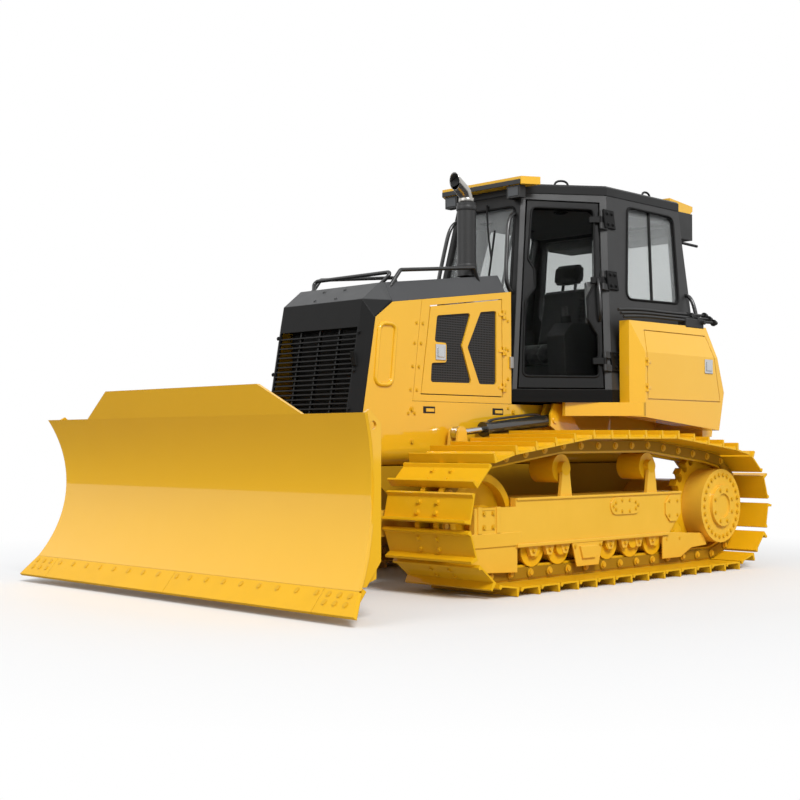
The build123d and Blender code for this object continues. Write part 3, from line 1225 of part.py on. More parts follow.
def cutting_edge():
    """The bolted edge: two middle sections and a flared end bit each side."""
    section = [EDGE_TIP, EDGE_SEAM, edge_offset(EDGE_SEAM, CUTTING_EDGE), edge_offset(EDGE_TIP, CUTTING_EDGE)]
    low, high = 30.0, EDGE_SEAM[1] - 0.2
    flare = (EDGE_HALF - SEAM_HALF) / (EDGE_SEAM[1] - EDGE_TIP[1])
    half_low = EDGE_HALF + flare * (EDGE_TIP[1] - low)
    strip = slab_x(section, -EDGE_HALF - 20, EDGE_HALF + 20)
    reach = (EDGE_TIP[0] - 100, EDGE_SEAM[0] + 100)
    strip &= slab_y([(-half_low, low), (half_low, low), (SEAM_HALF, high), (-SEAM_HALF, high)], *reach)
    for x in (-EDGE_SECTION, 0, EDGE_SECTION):
        strip -= block((x - 1.5, x + 1.5), reach, (0, EDGE_SEAM[1] + 100))
    return strip


# ---- Cylinders

def turned(point, centre, degrees):
    """A point of a plane turned about a centre, from its first axis towards its second."""
    a, b = point[0] - centre[0], point[1] - centre[1]
    cos, sin = math.cos(math.radians(degrees)), math.sin(math.radians(degrees))
    return (centre[0] + a * cos - b * sin, centre[1] + a * sin + b * cos)


def cylinder(start, end, shortest, length, radius, rod_radius, pin_axis):
    """A barrel on the pin at start, and its rod with the eye for the pin at end, drawn out to this pose."""
    direction = (Vector(*end) - Vector(*start)).normalized()
    reach = (Vector(*end) - Vector(*start)).length

    def at(distance):
        return tuple(Vector(*start) + direction * distance)

    half = Vector(*pin_axis) * (EYE_WIDTH / 2)
    clear = eye_radius + 26
    neck = bar(at(0), at(clear + 5), EYE_WIDTH / 2 - 3)
    barrel = neck + bar(at(clear), at(length), radius)
    barrel += bar(at(length - 45), at(length), radius + 6)
    barrel += bar(tuple(Vector(*start) - half), tuple(Vector(*start) + half), eye_radius)
    barrel -= bar(tuple(Vector(*start) - half * 2), tuple(Vector(*start) + half * 2), PIN_RADIUS + RUNNING_FIT)
    barrel -= bar(at(clear + 20), at(length + 1), rod_radius + RUNNING_FIT)
    tail = reach - shortest + clear + 45
    rod = bar(at(tail), at(reach), rod_radius)
    rod += bar(tuple(Vector(*end) - half), tuple(Vector(*end) + half), eye_radius)
    return barrel, rod


def lift_cylinder():
    shortest = math.dist(LIFT_REAR, turned(LIFT_FRONT, (TRUNNION_Y, TRUNNION_Z), -BLADE_RAISE))
    return cylinder((LIFT_X, *LIFT_REAR), (LIFT_X, *LIFT_FRONT), shortest, LIFT_BARREL_LENGTH, LIFT_BARREL_RADIUS,
                    LIFT_ROD_RADIUS, (1, 0, 0))


def angle_cylinder():
    horn = (HORN_X, HORN_Y)
    shortest = math.dist(ANGLE_REAR, turned(horn, (0, KING_Y), BLADE_SWING))
    return cylinder((*ANGLE_REAR, HORN_Z), (*horn, HORN_Z), shortest, ANGLE_BARREL_LENGTH, ANGLE_BARREL_RADIUS,
                    ANGLE_ROD_RADIUS, (0, 0, 1))


def tilt_cylinder():
    shortest = math.dist(TILT_REAR, turned(TILT_FRONT, (0, TILT_Z), -BLADE_TILT))
    start, end = [(x, TILT_CYLINDER_Y, z) for x, z in (TILT_REAR, TILT_FRONT)]
    return cylinder(start, end, shortest, TILT_BARREL_LENGTH, TILT_BARREL_RADIUS, TILT_ROD_RADIUS, (0, 1, 0))


# ---- Engine

def radiator():
    return block((-RADIATOR_HALF, RADIATOR_HALF), RADIATOR_Y, (1010 + FIT, RADIATOR_TOP))


def engine():
    """The engine as one plain block on the hull."""
    return block((-ENGINE_HALF, ENGINE_HALF), ENGINE_Y, (HULL_TOP + FIT, ENGINE_TOP))


# ---- One file a node

def save(name, solids):
    """Write the solids of one node."""
    solids = solids if isinstance(solids, (list, tuple)) else [solids]
    loose = [solid for item in solids for solid in item.solids()]
    shape = loose[0] if len(loose) == 1 else Compound(children=loose)
    export_step(shape, "parts/" + name + ".step")


def save_pair(name, left):
    """Write a left piece and its mirror image as two nodes."""
    for side, piece in zip(("left", "right"), both_sides(left)):
        save(name + "_" + side, piece)


os.makedirs("parts", exist_ok=True)

save("hull", hull())
save("belly", belly())
save("lift_brackets", lift_brackets())
save("engine", engine())
save("radiator", radiator())
save("mask", mask())
save("grille", grille())
save("hood_top", hood_top())
save("hood_sides", hood_sides())
save_pair("engine_door", engine_door())
save_pair("door_mesh", Compound(children=door_mesh()))

save("cab_floor", cab_floor())
save("cab_front", cab_front())
save("cab_sides", cab_sides())
save("cab_rear", cab_rear())
save("cab_roof", cab_roof())
save("cab_glass", cab_glass())
save("visors", visors())
save("work_lamps", work_lamps())
save("seat", seat())
save("control_consoles", control_consoles())
save_pair("cab_door", cab_door())
save_pair("door_glass", door_glass())

save("exhaust_stack", exhaust_stack())
save("exhaust_elbow", exhaust_elbow())
save("handrails", handrails())
save("platform", platform())
save("fuel_tank", fuel_tank())
save("consoles", both_sides(console()))
save_pair("console_door", console_door())

save("track_frames", both_sides(track_frame()))
save("idler_blocks", [piece for item in idler_blocks() for piece in both_sides(item)])
save("idlers", both_sides(idler()))
save("final_drives", both_sides(final_drive()))
save("sprockets", both_sides(sprocket()))
save("carrier_rollers", [piece for y, z in CARRIERS for piece in both_sides(carrier_roller(y, z))])
save("track_rollers", [piece for i in range(ROLLER_COUNT)
                       for piece in both_sides(track_roller(ROLLER_FIRST_Y + i * ROLLER_PITCH))])
save_pair("track", track())

save("push_frame", push_frame())
save("yoke", yoke())
save("blade", blade())
save("cutting_edge", cutting_edge())
for name, cylinder_pair in (("lift", lift_cylinder()), ("angle", angle_cylinder())):
    save_pair(name + "_barrel", cylinder_pair[0])
    save_pair(name + "_rod", cylinder_pair[1])
tilt_barrel, tilt_rod = tilt_cylinder()
save("tilt_barrel", tilt_barrel)
save("tilt_rod", tilt_rod)
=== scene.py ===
import math

import bmesh
import bpy
from mathutils import Matrix, Vector


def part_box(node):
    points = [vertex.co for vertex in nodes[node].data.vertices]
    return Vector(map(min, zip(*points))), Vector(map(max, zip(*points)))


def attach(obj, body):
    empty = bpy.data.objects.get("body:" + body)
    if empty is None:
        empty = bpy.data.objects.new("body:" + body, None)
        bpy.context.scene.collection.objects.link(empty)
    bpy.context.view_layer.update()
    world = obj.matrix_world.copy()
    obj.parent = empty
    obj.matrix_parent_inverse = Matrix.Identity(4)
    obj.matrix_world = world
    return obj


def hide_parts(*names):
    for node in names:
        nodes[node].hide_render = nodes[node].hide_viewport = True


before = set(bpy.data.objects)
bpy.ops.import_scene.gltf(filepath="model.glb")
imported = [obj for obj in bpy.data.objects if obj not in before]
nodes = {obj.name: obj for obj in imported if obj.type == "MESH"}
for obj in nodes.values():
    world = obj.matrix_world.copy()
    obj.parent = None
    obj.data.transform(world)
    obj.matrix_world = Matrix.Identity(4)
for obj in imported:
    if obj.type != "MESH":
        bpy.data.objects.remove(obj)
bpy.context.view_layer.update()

SIDES = (("left", 1), ("right", -1))

# ---- Studio
# A pale seamless floor that fades to white, one soft key light from the machine's left, a weak one from the
# front, and a plain room that the camera, glass and polished metal see as white.

CAMERA_PLACE = (6.4068, -6.7778, 0.8982)
CAMERA_TURN = (91.927, 0.0, 44.925)     # degrees
CAMERA_LENS, CAMERA_SENSOR = 60.17, 36.0     # mm
ROOM_AMBIENT = 0.46
SUNS = (("key", (0.66, -0.30, 0.68), 2.75, 22.0), ("front", (-0.25, -0.90, 0.45), 0.70, 45.0))
FLOOR_HALF = 60
FADE_START, FADE_END = 2.7, 5.2     # from the machine's middle
FLOOR_SEEN, FLOOR_BOUNCE, FLOOR_MIRRORED = (0.80, 0.80, 0.80), (0.58, 0.58, 0.58), (0.10, 0.10, 0.10, 1.0)
WHITE = (1.0, 1.0, 1.0, 1.0)


def add(tree, kind, operation=None, **values):
    """A new node, with inputs set by name. A short kind is a shader node's."""
    node = tree.nodes.new(kind if "Node" in kind else "ShaderNode" + kind)
    if operation:
        node.operation = operation
    for name, value in values.items():
        node.inputs[name.replace("_", " ")].default_value = value
    return node


def blend(tree, low, high):
    """A node that mixes two colours."""
    node = add(tree, "Mix")
    node.data_type = "RGBA"
    node.inputs[6].default_value, node.inputs[7].default_value = (*low, 1.0), (*high, 1.0)
    return node


def node_material(name):
    """A new material with its tree and main shader."""
    material = bpy.data.materials.new(name)
    material.use_nodes = True
    return material, material.node_tree, material.node_tree.nodes["Principled BSDF"]


def wire(tree, *pairs):
    """Link outputs to inputs."""
    for source, target in pairs:
        tree.links.new(source, target)


scene = bpy.context.scene
scene.view_settings.view_transform = "Standard"
camera = bpy.data.objects.new("camera", bpy.data.cameras.new("camera"))
camera.data.lens = CAMERA_LENS
camera.data.sensor_width = CAMERA_SENSOR
camera.location = CAMERA_PLACE
camera.rotation_euler = [math.radians(angle) for angle in CAMERA_TURN]
scene.collection.objects.link(camera)
scene.camera = camera

world = bpy.data.worlds.new("room")
scene.world = world
world.use_nodes = True
tree = world.node_tree
ambient = tree.nodes["Background"]
ambient.inputs["Color"].default_value = (0.93, 0.96, 1.0, 1.0)
ambient.inputs["Strength"].default_value = ROOM_AMBIENT
bright = add(tree, "Background", Color=WHITE, Strength=1.0)
rays = add(tree, "LightPath")
either, seen = add(tree, "Math", "MAXIMUM"), add(tree, "Math", "MAXIMUM")
blend_rooms = add(tree, "MixShader")
wire(tree, (rays.outputs["Is Camera Ray"], either.inputs[0]),
     (rays.outputs["Is Transmission Ray"], either.inputs[1]),
     (either.outputs[0], seen.inputs[0]), (rays.outputs["Is Glossy Ray"], seen.inputs[1]),
     (seen.outputs[0], blend_rooms.inputs["Fac"]), (ambient.outputs[0], blend_rooms.inputs[1]),
     (bright.outputs[0], blend_rooms.inputs[2]),
     (blend_rooms.outputs[0], tree.nodes["World Output"].inputs["Surface"]))

for lamp_name, direction, strength, spread in SUNS:
    light = bpy.data.lights.new(lamp_name, "SUN")
    light.energy = strength
    light.angle = math.radians(spread)
    holder = bpy.data.objects.new(lamp_name, light)
    holder.rotation_euler = Vector(direction).to_track_quat("Z", "Y").to_euler()
    scene.collection.objects.link(holder)

floor_mesh = bpy.data.meshes.new("floor")
floor_corners = [(x * FLOOR_HALF, y * FLOOR_HALF, 0) for x, y in ((-1, -1), (1, -1), (1, 1), (-1, 1))]
floor_mesh.from_pydata(floor_corners, [], [(0, 1, 2, 3)])
floor = bpy.data.objects.new("floor", floor_mesh)
scene.collection.objects.link(floor)
floor_finish, tree, floor_shader = node_material("floor_finish")
floor_shader.inputs["Roughness"].default_value = 0.75
floor_tone = blend(tree, FLOOR_BOUNCE, FLOOR_SEEN)
place = add(tree, "TexCoord")
distance = add(tree, "VectorMath", "LENGTH")
fade = add(tree, "MapRange", From_Min=FADE_START, From_Max=FADE_END)
rays = add(tree, "LightPath")
far = add(tree, "Math", "MULTIPLY")
glow, shade = add(tree, "Emission", Color=WHITE), add(tree, "Emission", Color=FLOOR_MIRRORED)
melt, mirror_side = add(tree, "MixShader"), add(tree, "MixShader")
wire(tree, (rays.outputs["Is Camera Ray"], floor_tone.inputs[0]),
     (floor_tone.outputs[2], floor_shader.inputs["Base Color"]),
     (place.outputs["Object"], distance.inputs[0]),
     (distance.outputs["Value"], fade.inputs["Value"]), (fade.outputs["Result"], far.inputs[0]),
     (rays.outputs["Is Camera Ray"], far.inputs[1]), (far.outputs[0], melt.inputs["Fac"]),
     (floor_shader.outputs[0], melt.inputs[1]), (glow.outputs[0], melt.inputs[2]),
     (rays.outputs["Is Glossy Ray"], mirror_side.inputs["Fac"]), (melt.outputs[0], mirror_side.inputs[1]),
     (shade.outputs[0], mirror_side.inputs[2]),
     (mirror_side.outputs[0], tree.nodes["Material Output"].inputs["Surface"]))
floor_mesh.materials.append(floor_finish)


# ---- Painted steel of the machine
# Warm yellow stoved paint on welded plate: the hull, blade, frames, track chains and side consoles.
# The tone drifts a little over a panel, the gloss is uneven and plate edges are slightly round.

def finish(name, colour, rough, second=None, patch=2.2, metallic=0.0, coat=0.0, soften=0.005, grain=420.0,
           bump=0.03, vary=0.07, shine=0.5):
    """A node finish: two tones in soft patches, uneven gloss, a fine grain and rounded edges."""
    material, tree, shader = node_material(name)
    place = add(tree, "TexCoord")
    cloud = add(tree, "TexNoise", Scale=patch, Detail=5.0)
    tone = blend(tree, colour, second or [c * (1 - 2 * vary) for c in colour])
    smear = add(tree, "TexNoise", Scale=9.0, Detail=8.0)
    gloss = add(tree, "MapRange", To_Min=max(0.02, rough - 0.10), To_Max=min(1.0, rough + 0.12))
    fine = add(tree, "TexNoise", Scale=grain)
    relief = add(tree, "Bump", Strength=bump, Distance=0.002)
    for texture in (cloud, smear, fine):
        wire(tree, (place.outputs["Object"], texture.inputs["Vector"]))
    wire(tree, (cloud.outputs["Fac"], tone.inputs[0]), (tone.outputs[2], shader.inputs["Base Color"]),
         (smear.outputs["Fac"], gloss.inputs["Value"]), (gloss.outputs["Result"], shader.inputs["Roughness"]),
         (fine.outputs["Fac"], relief.inputs["Height"]), (relief.outputs["Normal"], shader.inputs["Normal"]))
    if soften:
        edge = add(tree, "Bevel", Radius=soften)
        edge.samples = 4
        wire(tree, (edge.outputs["Normal"], relief.inputs["Normal"]))
    for socket, value in (("Metallic", metallic), ("Coat Weight", coat), ("Coat Roughness", 0.05),
                          ("Specular IOR Level", shine)):
        shader.inputs[socket].default_value = value
    return material


def dress(material, *names):
    """Give CAD nodes a finish."""
    for name in names:
        piece = nodes[name]
        if not piece.material_slots:
            piece.data.materials.append(material)
        for place in piece.material_slots:
            place.material = material


yellow_paint = finish("yellow_paint", (0.80, 0.440, 0.010), 0.48, second=(0.77, 0.412, 0.008), coat=1.0,
                      shine=0.15)
frame_paint = finish("yellow_frame_paint", (0.82, 0.475, 0.045), 0.50, second=(0.74, 0.42, 0.030), patch=5.0,
                     coat=0.6, shine=0.15)
chain_paint = finish("yellow_chain_paint", (0.80, 0.435, 0.006), 0.46, second=(0.70, 0.375, 0.006), patch=7.0,
                     coat=0.35, shine=0.1)
dress(yellow_paint, "hull", "hood_sides", "engine_door_left", "engine_door_right", "consoles",
      "console_door_left", "console_door_right", "fuel_tank", "platform", "visors", "blade", "lift_brackets")
dress(frame_paint, "push_frame", "yoke", "track_frames", "final_drives", "idler_blocks")
dress(chain_paint, "track_left", "track_right", "sprockets", "idlers", "track_rollers", "carrier_rollers",
      "cutting_edge")

# ---- Fasteners
# Painted steel hexagon screws with washers. One node tree sets a head on every place, turned to
# face out of the plate that it holds.

WASHER_SIDES = 14


def fastener_tree():
    tree = bpy.data.node_groups.new("fasteners", "GeometryNodeTree")
    face = tree.interface
    for name, kind in (("Geometry", "Geometry"), ("Head Radius", "Float"), ("Head Height", "Float"),
                       ("Head Sides", "Int"), ("Finish", "Material")):
        face.new_socket(name=name, in_out="INPUT", socket_type="NodeSocket" + kind)
    face.new_socket(name="Geometry", in_out="OUTPUT", socket_type="NodeSocketGeometry")
    new = tree.nodes.new
    given, result = new("NodeGroupInput"), new("NodeGroupOutput")
    head = new("GeometryNodeMeshCylinder")
    washer = add(tree, "GeometryNodeMeshCylinder", Vertices=WASHER_SIDES)
    wide, thin, lift = [add(tree, "Math", "MULTIPLY") for _ in range(3)]
    for node, source, factor in ((wide, "Head Radius", 1.5), (thin, "Head Height", 0.35),
                                 (lift, "Head Height", 0.5)):
        node.inputs[1].default_value = factor
        wire(tree, (given.outputs[source], node.inputs[0]))
    rise, raised = new("ShaderNodeCombineXYZ"), new("GeometryNodeTransform")
    join = new("GeometryNodeJoinGeometry")
    facing = add(tree, "GeometryNodeInputNamedAttribute", Name="facing")
    facing.data_type = "FLOAT_VECTOR"
    turn = new("FunctionNodeAlignRotationToVector")
    turn.axis = "Z"
    instances = new("GeometryNodeInstanceOnPoints")
    real, coat = new("GeometryNodeRealizeInstances"), new("GeometryNodeSetMaterial")
    wire(tree, (given.outputs["Head Sides"], head.inputs["Vertices"]),
         (given.outputs["Head Radius"], head.inputs["Radius"]),
         (given.outputs["Head Height"], head.inputs["Depth"]),
         (wide.outputs[0], washer.inputs["Radius"]), (thin.outputs[0], washer.inputs["Depth"]),
         (lift.outputs[0], rise.inputs["Z"]), (rise.outputs[0], raised.inputs["Translation"]),
         (head.outputs["Mesh"], raised.inputs["Geometry"]),
         (raised.outputs["Geometry"], join.inputs["Geometry"]),
         (washer.outputs["Mesh"], join.inputs["Geometry"]),
         (facing.outputs["Attribute"], turn.inputs["Vector"]),
         (given.outputs["Geometry"], instances.inputs["Points"]),
         (join.outputs["Geometry"], instances.inputs["Instance"]),
         (turn.outputs["Rotation"], instances.inputs["Rotation"]),
         (instances.outputs["Instances"], real.inputs["Geometry"]),
         (real.outputs["Geometry"], coat.inputs["Geometry"]),
         (given.outputs["Finish"], coat.inputs["Material"]),
         (coat.outputs["Geometry"], result.inputs["Geometry"]))
    return tree


fasteners = fastener_tree()


def place_piece(name, mesh, material, body="chassis", bevel=0.0, smooth=False):
    """Link a finished mesh as a piece that rides on a body."""
    mesh.materials.clear()
    mesh.materials.append(material)
    mesh.polygons.foreach_set("use_smooth", [smooth] * len(mesh.polygons))
    piece = bpy.data.objects.new(name, mesh)
    scene.collection.objects.link(piece)
    if bevel:
        rounding = piece.modifiers.new("rounding", "BEVEL")
        rounding.width = bevel
        rounding.segments = 2
        rounding.limit_method = "ANGLE"
        rounding.angle_limit = math.radians(40)
    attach(piece, body)
    return piece


def evaluated(thing):
    """The final mesh of an object with its modifiers."""
    graph = bpy.context.evaluated_depsgraph_get()
    return bpy.data.meshes.new_from_object(thing.evaluated_get(graph))


def bolts(name, spots, radius, height, material, body="chassis", sides=6):
    """Screw heads at places, each with the direction that it faces."""
    points = bpy.data.meshes.new(name + "_points")
    points.from_pydata([tuple(place) for place, _ in spots], [], [])
    facing = points.attributes.new("facing", "FLOAT_VECTOR", "POINT")
    facing.data.foreach_set("vector", [c for _, way in spots for c in Vector(way).normalized()])
    holder = bpy.data.objects.new(name + "_points", points)
    scene.collection.objects.link(holder)
    modifier = holder.modifiers.new("fasteners", "NODES")
    modifier.node_group = fasteners
    sizes = {"Head Radius": radius, "Head Height": height, "Head Sides": sides, "Finish": material}
    for item in fasteners.interface.items_tree:
        if item.in_out == "INPUT" and item.name in sizes:
            modifier[item.identifier] = sizes[item.name]
    mesh = evaluated(holder)
    bpy.data.objects.remove(holder)
    mesh.name = name
    return place_piece(name, mesh, material, body)


bolt_paint = finish("bolt_paint", (0.70, 0.38, 0.010), 0.42, soften=0.0, shine=0.3)

# ---- Hood, nose and grille
# Charcoal pressed covers with a satin powder coat: the near-black mask round the grille, the flat top with
# sloped shoulders, and flat slats before the radiator core.

hood_coat = finish("hood_coat", (0.060, 0.061, 0.063), 0.36, second=(0.050, 0.051, 0.053), coat=0.05,
                   shine=0.25)
mask_coat = finish("mask_coat", (0.009, 0.009, 0.009), 0.40, second=(0.009, 0.009, 0.009), shine=0.12)
slat_coat = finish("slat_coat", (0.010, 0.010, 0.010), 0.42, soften=0.001, shine=0.3)
core_black = finish("core_black", (0.006, 0.006, 0.006), 0.75, grain=900.0, bump=0.4, soften=0.0)
BROW_Z, BROW_EDGE = 1.806, 0.008     # above it the mask's top is paler
tree = mask_coat.node_tree
split = add(tree, "SeparateXYZ")
brow_edge = add(tree, "MapRange", From_Min=BROW_Z, From_Max=BROW_Z + BROW_EDGE)
brow_tone = blend(tree, (0, 0, 0), (0.072, 0.073, 0.074))
wire(tree, (tree.nodes["Texture Coordinate"].outputs["Object"], split.inputs[0]),
     (split.outputs["Z"], brow_edge.inputs["Value"]), (brow_edge.outputs["Result"], brow_tone.inputs[0]),
     (tree.nodes["Mix"].outputs[2], brow_tone.inputs[6]),
     (brow_tone.outputs[2], tree.nodes["Principled BSDF"].inputs["Base Color"]))
dress(hood_coat, "hood_top")
dress(mask_coat, "mask")
dress(slat_coat, "grille")
dress(core_black, "radiator", "engine")
HOOD_SIDE_X = 0.450
LEAN = (1.211 - 1.066) / (1.808 - 1.000)


def nose_y(z):
    """Y of the leaning nose face at a height."""
    return -1.066 - (1.808 - z) * LEAN


def slab(form, outline, push):
    """Add a plate to a mesh form: a flat outline pushed along a vector."""
    low = [form.verts.new(Vector(p)) for p in outline]
    high = [form.verts.new(Vector(p) + Vector(push)) for p in outline]
    form.faces.new(low)
    form.faces.new(reversed(high))
    count = len(low)
    for i in range(count):
        j = (i + 1) % count
        form.faces.new((low[j], low[i], high[i], high[j]))


def form_mesh(name, form):
    """A mesh from a mesh form, which is freed."""
    mesh = bpy.data.meshes.new(name)
    form.to_mesh(mesh)
    form.free()
    return mesh


def slabs(name, plates, material, body="chassis", bevel=0.003):
    """One piece of several plates, each an outline and its push."""
    form = bmesh.new()
    for outline, push in plates:
        slab(form, outline, push)
    bmesh.ops.recalc_face_normals(form, faces=form.faces)
    return place_piece(name, form_mesh(name, form), material, body, bevel)


nose_facing = Vector((0, -1, LEAN)).normalized()
mask_bolts = []
for side in (-1, 1):
    mask_bolts += [((side * 0.388, nose_y(z) - 0.001, z), nose_facing) for z in (1.12, 1.36, 1.60)]
    mask_bolts += [((side * 0.10, y, z), (0, -0.60, 0.80)) for y, z in ((-1.035, 1.832), (-0.955, 1.895))]
bolts("mask_screws", mask_bolts, 0.009, 0.007, mask_coat)
latch_y = nose_y(1.43)
slabs("mask_latch", [([(0.372, latch_y, 1.385), (0.408, latch_y, 1.385), (0.408, latch_y - 0.016, 1.475),
                       (0.372, latch_y - 0.016, 1.475)], (0, -0.018, 0.003))], mask_coat)


def tube_mesh(name, paths, radius, closed=False, sides=4, order=3):
    """Bent round bars: each path's smooth line swept by a circle."""
    curve = bpy.data.curves.new(name, "CURVE")
    curve.dimensions = "3D"
    curve.bevel_depth = radius
    curve.bevel_resolution = sides
    curve.resolution_u = 6
    curve.use_fill_caps = True
    for path in paths:
        line = curve.splines.new("NURBS" if order > 2 else "POLY")
        line.points.add(len(path) - 1)
        for point, place in zip(line.points, path):
            point.co = (*place, 1.0)
        line.use_cyclic_u = closed
        if order > 2:
            line.order_u = order
            line.use_endpoint_u = not closed
    holder = bpy.data.objects.new(name, curve)
    scene.collection.objects.link(holder)
    mesh = evaluated(holder)
    bpy.data.objects.remove(holder)
    mesh.name = name
    return mesh


def tubes(name, paths, radius, material, body="chassis", closed=False, sides=4, order=3):
    mesh = tube_mesh(name, paths, radius, closed, sides, order)
    return place_piece(name, mesh, material, body, smooth=True)


def side_shape(x, places, out):
    """The outline and push of a plate on a side face, from places in y and z and how far it stands out."""
    return [(x, y, z) for y, z in places], (out, 0, 0)


def side_plate(x, y, z, out):
    """The same for an upright rectangle with its spans in y and z."""
    return side_shape(x, ((y[0], z[0]), (y[1], z[0]), (y[1], z[1]), (y[0], z[1])), out)


def bead_ring(y, z, corner, x):
    """The rounded rectangle that a pressed bead follows on a side plate."""
    line = []
    for cy, cz, start in ((y[1], z[1], 0), (y[0], z[1], 90), (y[0], z[0], 180), (y[1], z[0], 270)):
        cy += -corner if cy == y[1] else corner
        cz += -corner if cz == z[1] else corner
        for step in range(5):
            angle = math.radians(start + step * 22.5)
            line.append((x, cy + corner * math.cos(angle), cz + corner * math.sin(angle)))
    return line


BEAD_LEAN = 0.10
SEAM_Y, SEAM_Z, SEAM_LEAN = -0.706, 1.080, 0.1308     # the leaning joint before the engine door
side_beads, seam_bolts = [], []
for _, side in SIDES:
    x = side * (HOOD_SIDE_X + 0.001)
    ring = bead_ring((-1.005, -0.860), (1.275, 1.660), 0.045, x)
    side_beads.append([(x, y + (z - 1.47) * BEAD_LEAN, z) for x, y, z in ring])
    seam_bolts += [((x, SEAM_Y + (z - SEAM_Z) * SEAM_LEAN + dy, z), (side, 0, 0))
                   for z in (1.10, 1.25, 1.40, 1.55, 1.68) for dy in (-0.028, 0.030)]
    seam_bolts += [((x, 0.245, z), (side, 0, 0)) for z in (1.15, 1.35, 1.55, 1.75)]
tubes("nose_side_beads", side_beads, 0.014, yellow_paint, closed=True, order=2)
bolts("side_seam_bolts", seam_bolts, 0.008, 0.006, bolt_paint)
LOWER_BOLTS = ((-0.70, 1.125), (0.30, 1.125), (-1.02, 0.92), (-0.70, 0.92), (0.26, 0.92), (0.50, 0.92))
lower_bolts = [((side * HOOD_SIDE_X, *spot), (side, 0, 0)) for _, side in SIDES for spot in LOWER_BOLTS]
bolts("hull_side_bolts", lower_bolts, 0.013, 0.010, bolt_paint)
pockets, pocket_tongues, catches = [], [], []
for _, side in SIDES:
    x = side * (HOOD_SIDE_X - 0.0015)
    for y in (-0.540, 0.137):
        pockets.append(side_plate(x, (y - 0.055, y + 0.055), (1.103, 1.147), side * 0.003))
        pocket_tongues.append(side_plate(x, (y - 0.030, y + 0.045), (1.112, 1.134), side * 0.007))
    catches.append(side_plate(side * (HOOD_SIDE_X + 0.0005), (0.258, 0.290), (1.425, 1.505), side * 0.016))
# The pockets are flat near-black plates: painted shade for the recess of each pocket.
slabs("side_slots", pockets, core_black, bevel=0.0)
slabs("side_slot_tongues", pocket_tongues, yellow_paint, bevel=0.002)
catch_zinc = finish("catch_zinc", (0.52, 0.53, 0.54), 0.30, metallic=0.9, soften=0.002)
slabs("door_catches", catches, catch_zinc)

# ---- Engine doors
# Yellow side doors with punched sheet in their windows, a square paddle latch in a bright cup at the front
# edge and three hinges at the rear. The sheet is charcoal with round holes in even rows.

HOLES_PER_METRE = 62.0
door_sheet, tree, sheet_shader = node_material("door_sheet")
sheet_shader.inputs["Roughness"].default_value = 0.5
sheet_shader.inputs["Specular IOR Level"].default_value = 0.15
place, apart, flat = [add(tree, kind) for kind in ("TexCoord", "SeparateXYZ", "CombineXYZ")]
# The holes are not cut: each is a near-black dot in the sheet, painted shade for the dark space behind it.
holes = add(tree, "TexVoronoi", Scale=HOLES_PER_METRE, Randomness=0.0)
holes.voronoi_dimensions = "2D"
rim = add(tree, "MapRange", From_Min=0.30, From_Max=0.36)
web = blend(tree, (0.006, 0.006, 0.006), (0.042, 0.042, 0.043))
dent = add(tree, "Bump", Strength=0.6, Distance=0.003)
wire(tree, (place.outputs["Object"], apart.inputs[0]), (apart.outputs["Y"], flat.inputs["X"]),
     (apart.outputs["Z"], flat.inputs["Y"]), (flat.outputs[0], holes.inputs["Vector"]),
     (holes.outputs["Distance"], rim.inputs["Value"]), (rim.outputs["Result"], web.inputs[0]),
     (web.outputs[2], sheet_shader.inputs["Base Color"]), (rim.outputs["Result"], dent.inputs["Height"]),
     (dent.outputs["Normal"], sheet_shader.inputs["Normal"]))
dress(door_sheet, "door_mesh_left", "door_mesh_right")

ENGINE_LATCH = (-0.432, 1.502)
chrome_plate = finish("chrome_plate", (0.62, 0.63, 0.64), 0.16, metallic=1.0, soften=0.001, bump=0.01,
                      grain=900.0)
for side_name, side in SIDES:
    y, z = ENGINE_LATCH
    cup = [side_plate(side * HOOD_SIDE_X, (y - half_y, y + half_y), (z - half_z, z + half_z), side * out)
           for half_y, half_z, out in ((0.048, 0.052, 0.006), (0.030, 0.033, 0.012))]
    slabs("door_latch_" + side_name, cup, chrome_plate, "engine_door_" + side_name, bevel=0.004)

# ---- Handrails on the hood
# Black coated bent bar, one rail across the brow and one along each edge of the hood's top. The rails have
# their whole shape in the CAD and take only their coat here.

rail_black = finish("rail_black", (0.010, 0.010, 0.010), 0.30, soften=0.0, coat=0.3)
dress(rail_black, "handrails")

# ---- Cab shell
# Dark fabricated frame with flat leaning walls. Panels are satin black, the side and rear walls a shade
# lighter. The walls' directions are worked out here, so that seals, hinges and rails sit on them.

cab_coat = finish("cab_coat", (0.012, 0.012, 0.012), 0.36, second=(0.016, 0.016, 0.016), shine=0.22)
post_coat = finish("post_coat", (0.036, 0.036, 0.036), 0.38, second=(0.030, 0.030, 0.030), shine=0.22)
door_coat = finish("door_coat", (0.007, 0.007, 0.007), 0.38, shine=0.10)
dress(cab_coat, "cab_front", "cab_roof")
dress(door_coat, "cab_floor")
dress(post_coat, "cab_sides", "cab_rear")
dress(door_coat, "cab_door_left", "cab_door_right")

CORNER_A, CORNER_B, CORNER_C = Vector((0.450, 0.290)), Vector((0.872, 0.867)), Vector((0.872, 2.005))
SILL, EAVES = 1.283, 2.700
ALONG = (CORNER_B - CORNER_A).normalized()
INWARDS = Vector((-ALONG.y, ALONG.x))


def cab_corner(corner, z):
    """A left corner of the cab at a height: 0 front, 1 door post, 2 rear."""
    rise = (z - SILL) / (EAVES - SILL)
    post = CORNER_B + (ALONG * 0.055 + INWARDS * 0.284) * rise
    plan = (CORNER_A + (ALONG * 0.136 + INWARDS * 0.284) * rise, post, Vector((post.x, CORNER_C.y)))[corner]
    return Vector((plan.x, plan.y, z))


